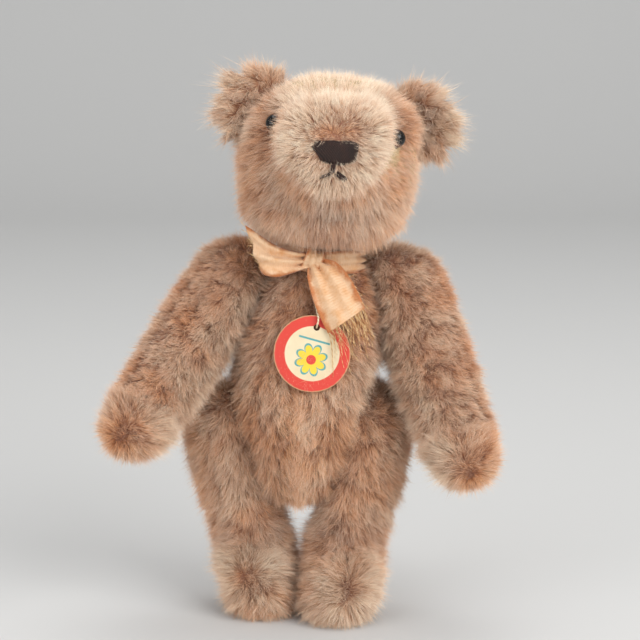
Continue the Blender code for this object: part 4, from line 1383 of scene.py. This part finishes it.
@dataclass
class LimbPart:
    """An arm or a leg, round at its joint and gathered in a seam star at its end."""

    shop: Workshop
    limb: str
    side: Side
    strands: int = 114000

    def build(self) -> None:
        """Make the limb's cloth and pile."""
        name = f"{self.limb}_{self.side.word}"
        cover = name + "_cover"
        joint = np.array(next(j["pos_m"] for j in FRAME["joints"] if j["child"] == name))
        low, high = (np.array(c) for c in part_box(cover))
        out = float(self.side.value)
        outer = high[0] if out > 0 else low[0]
        if self.limb == "arm":
            start = joint + np.array((out * 0.010, 0.001, -0.001))
            end = np.array((outer - out * 0.013, low[1] + 0.0125, low[2] + 0.014))
            skin = Skin(cover, start, end, 0.012, 64, 60, 8, 0.0008).build(name + "_cloth")
        else:
            start = joint + np.array((out * 0.007, 0.0, 0.001))
            sole = middle_of(cover)
            end = np.array((sole[0] - out * 0.002, high[1] - 0.014, 0.013))
            skin = Skin(cover, start, end, 0.012, 68, 64, 6, 0.0004, True).build(name + "_cloth")
        points, normals = spots(skin)
        if self.limb == "leg":
            corner = smooth_step((0.020 - points[:, 2]) / 0.016)
            corner *= smooth_step(out * (points[:, 0] - sole[0]) / 0.012)
            points[:, 0] -= out * (0.0040 if out < 0 else 0.0012) * corner
            skin.data.vertices.foreach_set("co", points.ravel())
            coat = self.leg_coat(points, normals, low)
        else:
            coat = self.arm_coat(points, normals, start, end)
        soil_and_crease_shade = crease(points, ["body_cover"], 0.0030)
        # painted shade: the pile darkened in the crease against the body, where it is also rubbed short
        coat.tone -= 0.34 * soil_and_crease_shade
        coat.pile *= 1 - 0.3 * soil_and_crease_shade
        fur = self.shop.grow(
            skin, name + "_pile", coat, self.strands, 60 + self.side.value,
            Lean=0.4, Scatter=0.42, Wander=2.2,
            Lock_Size=0.0021, Lock_Pull=0.45, Lock_Turn=0.45, Lock_Tone=0.28,
        )
        seat(wear(skin, self.shop.cloth), name, "worn_mohair", cover)
        seat(fur, name, "worn_mohair")

    def arm_coat(self, points: np.ndarray, normals: np.ndarray, start: np.ndarray, end: np.ndarray) -> Coat:
        """The arm's pile: brushed down and outwards, with a seam star on the paw."""
        axis = unit(end - start)
        share = np.clip((points - start) @ axis / np.linalg.norm(end - start), -0.2, 1.3)
        star = end + axis * 0.011 + np.array((0.0, -0.005, 0.002))
        radial = unit(points - star)
        paw = smooth_step((share - 0.86) / 0.2)[:, None]
        sideways = np.array((float(self.side.value) * 0.5, 0.0, -0.35))
        nap = (axis * 0.7 + sideways) * (1 - paw) + radial * paw * 0.6
        inner = smooth_step(-(normals[:, 0] * self.side.value) * 1.4 - 0.1)
        pile = 0.0032 + 0.0012 * inner + 0.0004 * share
        tone = 0.43 + 0.12 * inner
        tone -= 0.25 * near(points, star, 0.0022)
        pile *= 1 - 0.6 * near(points, star, 0.0022)
        warm = Dye.TAN.value - 0.20 * inner + 0.30 * near(points, star, 0.0034)
        seam = hump(normals[:, 1], -0.55, 0.05) * (1 - paw[:, 0])
        pile *= 1 - 0.45 * seam
        tone -= 0.22 * seam
        thick = 1 - 0.55 * seam
        return Coat(nap, pile, thick, tone, warm)

    def leg_coat(self, points: np.ndarray, normals: np.ndarray, low: np.ndarray) -> Coat:
        """The leg's pile: brushed down, fanned on the foot, none under the sole's middle."""
        toe = np.array((points[:, 0].mean(), low[1] + 0.003, 0.014))
        radial = unit(points - toe)
        foot = np.exp(-((np.linalg.norm(points - toe, axis=1) / 0.013) ** 4))[:, None]
        outward = np.array((float(self.side.value) * 0.25, 0.0, -0.9))
        nap = outward * (1 - foot) + radial * foot
        inner = smooth_step(-(normals[:, 0] * self.side.value) * 1.4 - 0.2)
        pile = 0.0040 + 0.0010 * foot[:, 0] + 0.0014 * inner * hump(points[:, 2], 0.028, 0.007)
        star = near(points, toe, 0.0030)
        ankle = hump(points[:, 2], 0.028, 0.0045) * smooth_step(-normals[:, 1] * 2)
        tone = 0.45 - 0.10 * star - 0.24 * ankle + 0.14 * foot[:, 0] * (1 - star)
        warm = Dye.TAN.value + 0.30 * star - 0.28 * foot[:, 0] * (1 - star)
        under = smooth_step((-normals[:, 2] - 0.55) / 0.3) * smooth_step((0.004 - points[:, 2]) / 0.003)
        pile = pile * (1 - 0.88 * under)
        pile *= 1 - 0.7 * star
        seam = hump(normals[:, 0] * self.side.value, 0.35, 0.05) * (1 - foot[:, 0])
        tone -= 0.20 * seam
        thick = 1 - 0.5 * seam
        nap = nap * (1 - under)[:, None] + radial * under[:, None]
        return Coat(nap, pile * (1 - 0.4 * seam), thick, tone, warm)


@dataclass
class Ribbon:
    """The faded ribbon tied round the neck, one length with two free ends."""

    width: float = 0.0135
    length: float = 0.150
    thick: float = 0.00028

    def build(self) -> None:
        """Make the band, the knot, both ends and their frayed threads."""
        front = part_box("neck_ribbon")[0][1]
        neck = middle_of("head_disc_trunk")
        knot = np.array((neck[0] - 0.0034, front + 0.0112, 0.1140))
        grids = [self.band(neck), self.wrap(knot), self.upper_end(knot), self.lower_end(knot)]
        piece = self.cloth("ribbon_cloth", grids)
        wear(piece, SatinFinish().make())
        seat(piece, "torso", "faded_ribbon", "neck_ribbon")
        gold = StrandFinish("frayed_gold_thread", linear(198, 140, 76), linear(246, 214, 156), 900.0, 0.5)
        fray = threads("ribbon_fray", self.frays(grids[2], grids[3]), 0.00007, gold.make(), 4)
        seat(fray, "torso", "faded_ribbon")

    def band(self, neck: np.ndarray) -> np.ndarray:
        """The part round the neck, pressed narrow by the head."""
        rows, cols = 110, 25
        grid = np.empty((rows + 1, cols, 3))
        for i in range(rows + 1):
            turn = 2 * math.pi * i / rows
            front = float(smooth_step(-1.6 * math.sin(turn) - 0.3))
            for j in range(cols):
                u = 2 * j / (cols - 1) - 1
                wave = 3 * math.pi * u + 1.1 * math.sin(turn * 2) + 0.5 * math.sin(turn * 5)
                fold = 0.0009 * math.cos(wave)
                fold *= 1 - 0.75 * front
                a = 0.0130 + fold
                b = 0.0143 + 0.0009 * front + fold
                c, s = math.cos(turn), math.sin(turn)
                reach = (abs(c) ** 2.3 + abs(s) ** 2.3) ** (-1 / 2.3)
                x = neck[0] - 0.0004 + a * c * reach
                y = neck[1] + b * s * reach
                z = 0.1134 + u * (0.0031 + 0.0005 * front) - 0.08 * (x - neck[0])
                grid[i, j] = (x, y, z + 0.0003 * math.sin(turn * 5))
        return grid

    def wrap(self, knot: np.ndarray) -> np.ndarray:
        """The short turn of ribbon that makes the knot."""
        rows, cols = 36, 12
        grid = np.empty((rows + 1, cols, 3))
        lean = math.radians(24)
        for i in range(rows + 1):
            turn = 2 * math.pi * i / rows
            for j in range(cols):
                u = 2 * j / (cols - 1) - 1
                waist = 1 + 0.30 * u * u
                fold = 0.00030 * math.cos(u * 8.5 + 1.2 * math.sin(turn))
                radius_y = 0.0023 * waist + fold
                radius_z = 0.0030 * waist + fold
                x = u * 0.0028
                y = radius_y * math.cos(turn)
                z = radius_z * math.sin(turn)
                grid[i, j] = (
                    knot[0] + x * math.cos(lean) + z * math.sin(lean),
                    knot[1] + y,
                    knot[2] + z * math.cos(lean) - x * math.sin(lean),
                )
        return grid

    def end(
        self, spine: list[tuple], across: list[tuple], folds: float, crease_depth: float,
        rows: int = 44, cols: int = 25,
    ) -> np.ndarray:
        """A free end: a smooth spine with its width and its folds.

        Args:
            spine: Points along the middle, from the knot out.
            across: The width's vector at each of them.
            folds: The folds' depth at the knot.
            crease_depth: The depth of the pressed crease at the cut end.
            rows: Steps along.
            cols: Points across.

        Returns:
            The grid of points.
        """
        spine_points, widths = np.array(spine), np.array(across)
        places = np.linspace(0, 1, len(spine))
        t = np.linspace(0, 1, rows)
        middle = np.stack([smooth_line(places, spine_points[:, k], t) for k in range(3)], axis=1)
        width = np.stack([smooth_line(places, widths[:, k], t) for k in range(3)], axis=1)
        way = unit(np.gradient(middle, axis=0))
        normal = unit(np.cross(width, way))
        grid = np.empty((rows, cols, 3))
        for j in range(cols):
            u = 2 * j / (cols - 1) - 1
            depth = folds * np.cos(2.7 * math.pi * u + 0.5) * (1 - 0.72 * t)
            depth = depth + 0.0006 * np.sin(5.0 * t + 2.2 * u) * t
            depth = depth + crease_depth * hump(u - 0.25 + 0.5 * t, 0.0, 0.22) * t
            grid[:, j] = middle + width * u / 2 + normal * depth[:, None]
        return grid

    def upper_end(self, knot: np.ndarray) -> np.ndarray:
        """The end that stands out beyond the knot and curls up."""
        k = knot
        spine = [
            (k[0] - 0.0010, k[1] - 0.0008, k[2] + 0.0002),
            (k[0] - 0.0060, k[1] - 0.0030, k[2] + 0.0002),
            (k[0] - 0.0110, k[1] - 0.0045, k[2] + 0.0008),
            (k[0] - 0.0150, k[1] - 0.0042, k[2] + 0.0024),
            (k[0] - 0.0178, k[1] - 0.0028, k[2] + 0.0040),
        ]
        across = [
            (0.0006, 0.0, 0.0046),
            (-0.0004, 0.0016, 0.0066),
            (-0.0016, 0.0026, 0.0098),
            (-0.0036, 0.0030, 0.0126),
            (-0.0050, 0.0034, 0.0140),
        ]
        return self.end(spine, across, 0.0011, 0.0022)

    def lower_end(self, knot: np.ndarray) -> np.ndarray:
        """The end that falls over the chest."""
        k = knot
        spine = [
            (k[0] + 0.0006, k[1] - 0.0012, k[2] - 0.0004),
            (k[0] + 0.0030, k[1] - 0.0044, k[2] - 0.0026),
            (k[0] + 0.0056, k[1] - 0.0072, k[2] - 0.0072),
            (k[0] + 0.0080, k[1] - 0.0092, k[2] - 0.0122),
            (k[0] + 0.0102, k[1] - 0.0100, k[2] - 0.0168),
        ]
        across = [
            (0.0040, 0.0, 0.0018),
            (0.0088, 0.0006, 0.0046),
            (0.0112, 0.0004, 0.0060),
            (0.0120, -0.0006, 0.0066),
            (0.0112, -0.0010, 0.0080),
        ]
        return self.end(spine, across, 0.0009, -0.0010)

    def cloth(self, name: str, grids: list[np.ndarray]) -> bpy.types.Object:
        """Join the grids into one piece with a cloth map, and give it its thickness."""
        points: list[Any] = []
        faces: list[tuple[int, ...]] = []
        maps: list[tuple[float, float]] = []
        start = 0.0
        for grid in grids:
            rows, cols = grid.shape[:2]
            first = len(points)
            points += list(grid.reshape(-1, 3))
            steps = np.linalg.norm(np.diff(grid[:, cols // 2], axis=0), axis=1)
            along = np.concatenate([[0.0], np.cumsum(steps)]) / self.length
            maps += [(j / (cols - 1), start + along[i]) for i in range(rows) for j in range(cols)]
            start += float(along[-1])
            for i in range(rows - 1):
                for j in range(cols - 1):
                    a = first + i * cols + j
                    faces.append((a, a + 1, a + cols + 1, a + cols))
        piece = link_mesh(name, points, faces)
        layer = piece.data.uv_layers.new(name="cloth")
        for loop in piece.data.loops:
            layer.data[loop.index].uv = maps[loop.vertex_index]
        wall = piece.modifiers.new("thickness", "SOLIDIFY")
        wall.thickness = self.thick
        wall.offset = 0.0
        mesh = settled(piece)
        piece.modifiers.clear()
        piece.data = mesh
        return piece

    def frays(self, upper: np.ndarray, lower: np.ndarray) -> list[list[Any]]:
        """Loose threads at both cut ends and along one edge of the lower end."""
        rng = np.random.default_rng(7)
        lines: list[list[Any]] = []
        for grid, count, long in ((upper, 22, 0.0016), (lower, 64, 0.0050)):
            edge, before = grid[-1], grid[-4]
            way = unit(edge - before)
            for _ in range(count):
                u = rng.random() * (len(edge) - 1)
                j = min(int(u), len(edge) - 2)
                root = edge[j] * (1 - u + j) + edge[j + 1] * (u - j)
                length = long * (0.35 + rng.random())
                lean = rng.normal(0, 0.35, 3)
                line = []
                for i in range(7):
                    t = i / 6
                    sag = np.array((0.0, 0.0, -0.55)) * t * t if long > 0.003 else np.zeros(3)
                    line.append(root + (way[j] + lean * t + sag) * length * t)
                lines.append(line)
        side = lower[:, -1]
        shares = (0, 0.25, 0.5, 0.75, 1.0)
        for i in range(6, len(side) - 2, 3):
            root = side[i]
            lean = rng.normal(0, 0.5, 3) + np.array((0.8, -0.2, 0.1))
            lines.append([root + lean * 0.0014 * t * t + DOWN * 0.0005 * t for t in shares])
        return lines


def smooth_line(places: np.ndarray, values: np.ndarray, t: np.ndarray) -> np.ndarray:
    """Smooth values at t through given values, by a cubic through each pair.

    Args:
        places: Where the values are given.
        values: The given values.
        t: Where they are wanted.

    Returns:
        The values at t.
    """
    slopes = np.gradient(values, places)
    i = np.clip(np.searchsorted(places, t, side="right") - 1, 0, len(places) - 2)
    span = places[i + 1] - places[i]
    u = (t - places[i]) / span
    return (
        (2 * u**3 - 3 * u**2 + 1) * values[i]
        + (u**3 - 2 * u**2 + u) * slopes[i] * span
        + (3 * u**2 - 2 * u**3) * values[i + 1]
        + (u**3 - u**2) * slopes[i + 1] * span
    )


@dataclass
class SwingTag:
    """The round card and its thread."""

    sides: int = 96

    def build(self) -> None:
        """Make the card with its punched hole, and the thread that carries it."""
        low, high = (np.array(c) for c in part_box("swing_tag"))
        middle = Vector((low + high) / 2)
        radius = float(high[0] - low[0]) / 2
        slope = Matrix.Rotation(math.radians(-9), 4, "X") @ Matrix.Rotation(math.radians(10), 4, "Y")
        place = Matrix.Translation(middle) @ slope
        card = self.card(place, radius)
        seat(wear(card, CardFinish(place, radius).make()), "torso", "printed_card", "swing_tag")
        cotton = StrandFinish("twisted_cotton", linear(206, 180, 140), linear(244, 228, 200), 1100.0, 0.7)
        wear(FRAME["nodes"]["tag_thread"], cotton.make())

    def card(self, place: Matrix, radius: float) -> bpy.types.Object:
        """The card itself: a thin round, a little bowed, with a clean hole."""
        hole_radius, hole_up, thick = 0.00095, radius - 0.0036, 0.0006
        rings = 14
        grid: list[Vector] = []
        for i in range(rings + 1):
            t = i / rings
            for k in range(self.sides):
                turn = 2 * math.pi * k / self.sides
                inner = Vector((hole_radius * math.cos(turn), 0, hole_up + hole_radius * math.sin(turn)))
                outer = Vector((radius * math.cos(turn), 0, radius * math.sin(turn)))
                grid.append(inner.lerp(outer, t ** 1.4))
        faces = []
        for i in range(rings):
            for k in range(self.sides):
                a, b = i * self.sides + k, i * self.sides + (k + 1) % self.sides
                faces.append((a, b, b + self.sides, a + self.sides))
        bow = [p + Vector((0, 0.0007 * (p.x / radius) ** 2 + 0.0003 * (p.z / radius) ** 3, 0)) for p in grid]
        card = link_mesh("tag_card", [place @ p for p in bow], faces)
        wall = card.modifiers.new("thickness", "SOLIDIFY")
        wall.thickness = thick
        wall.offset = 0.0
        soft = card.modifiers.new("edge", "BEVEL")
        soft.width = 0.00012
        soft.segments = 2
        soft.limit_method = "ANGLE"
        mesh = settled(card)
        card.modifiers.clear()
        card.data = mesh
        face_out(card)
        return card


@dataclass
class Hardware:
    """The parts inside: fillings, boards, washers and pins, in their own finishes."""

    finishes: dict[str, GrainFinish] = field(
        default_factory=lambda: {
            "_filling": GrainFinish(
                "packed_wood_wool", linear(150, 122, 84), linear(206, 180, 136), 300.0, 0.85
            ),
            "_disc_": GrainFinish("pressed_board", linear(92, 62, 40), linear(132, 94, 62), 420.0, 0.75),
            "_washer_": GrainFinish(
                "washer_steel", linear(150, 148, 144), linear(198, 196, 192), 500.0, 0.3, 1.0
            ),
            "_cotter_pin": GrainFinish(
                "pin_steel", linear(140, 138, 134), linear(190, 188, 184), 600.0, 0.3, 1.0
            ),
        }
    )

    def build(self) -> None:
        """Give each hidden CAD node its material."""
        for key, finish in self.finishes.items():
            material = finish.make()
            for name, node in FRAME["nodes"].items():
                if key in name:
                    wear(node, material)


@dataclass
class Studio:
    """Camera, pale floor and soft light."""

    aim: tuple[float, float, float] = (0.0063, 0.0076, 0.0930)
    distance: float = 0.65
    elevation: float = 10.0
    frame_width: float = 0.200

    def camera(self) -> None:
        """Set the camera at the photograph's angle."""
        data = bpy.data.cameras.new("camera")
        data.sensor_width = 36.0
        data.lens = 36.0 * self.distance / self.frame_width
        data.clip_start = 0.02
        camera = bpy.data.objects.new("camera", data)
        bpy.context.scene.collection.objects.link(camera)
        tilt = math.radians(self.elevation)
        aim = Vector(self.aim)
        camera.location = aim + Vector((0, -math.cos(tilt), math.sin(tilt))) * self.distance
        camera.rotation_euler = (aim - camera.location).to_track_quat("-Z", "Y").to_euler()
        bpy.context.scene.camera = camera

    def ground(self) -> None:
        """A pale floor that turns up into a backdrop."""
        points, faces = [], []
        back, bend = 1.5, 0.5
        profile = [(-2.0, 0.0), (back - bend, 0.0)]
        for i in range(1, 13):
            turn = math.pi / 2 * i / 12
            profile.append((back - bend + bend * math.sin(turn), bend - bend * math.cos(turn)))
        profile.append((back, 2.0))
        for x in (-2.0, 2.0):
            points += [(x, y, z) for y, z in profile]
        count = len(profile)
        for i in range(count - 1):
            faces.append((i, i + 1, count + i + 1, count + i))
        floor = link_mesh("studio_floor", points, faces)
        wear(floor, PlainStageFinish("studio_paper", linear(206, 206, 205)).make())

    def light(self, name: str, place: tuple, size: float, power: float, colour: tuple) -> None:
        """One soft rectangle of light aimed at the bear.

        Args:
            name: The light's name.
            place: Where it hangs.
            size: Its side.
            power: Its power in watts.
            colour: Its colour.
        """
        data = bpy.data.lights.new(name, "AREA")
        data.size = size
        data.energy = power
        data.color = colour
        lamp = bpy.data.objects.new(name, data)
        lamp.location = place
        lamp.rotation_euler = (Vector((0, 0, 0.09)) - Vector(place)).to_track_quat("-Z", "Y").to_euler()
        bpy.context.scene.collection.objects.link(lamp)

    def build(self) -> None:
        """Make the floor, the lights and the air's own light."""
        self.ground()
        self.light("window", (0.75, -0.8, 0.7), 0.9, 12.5, (1.0, 0.995, 0.985))
        self.light("fill", (-0.9, -0.8, 0.45), 1.0, 6.0, (0.98, 0.99, 1.0))
        self.light("top", (0.0, 0.15, 1.1), 0.8, 4.5, (1.0, 0.99, 0.98))
        world = bpy.data.worlds.new("air")
        world.use_nodes = True
        ground = world.node_tree.nodes["Background"]
        ground.inputs[0].default_value = (0.985, 0.99, 1.0, 1.0)
        ground.inputs[1].default_value = 0.48
        bpy.context.scene.world = world
        bpy.context.scene.view_settings.view_transform = "Standard"


def main() -> None:
    """Dress the bear part by part."""
    studio = Studio()
    studio.camera()
    shop = Workshop()
    HeadPart(shop).build()
    TrunkPart(shop).build()
    for side in Side:
        for limb in ("arm", "leg"):
            LimbPart(shop, limb, side).build()
    Ribbon().build()
    SwingTag().build()
    Hardware().build()
    studio.build()
    for strand in shop.strands.values():
        bpy.data.objects.remove(strand)


if __name__ == "__main__":
    main()
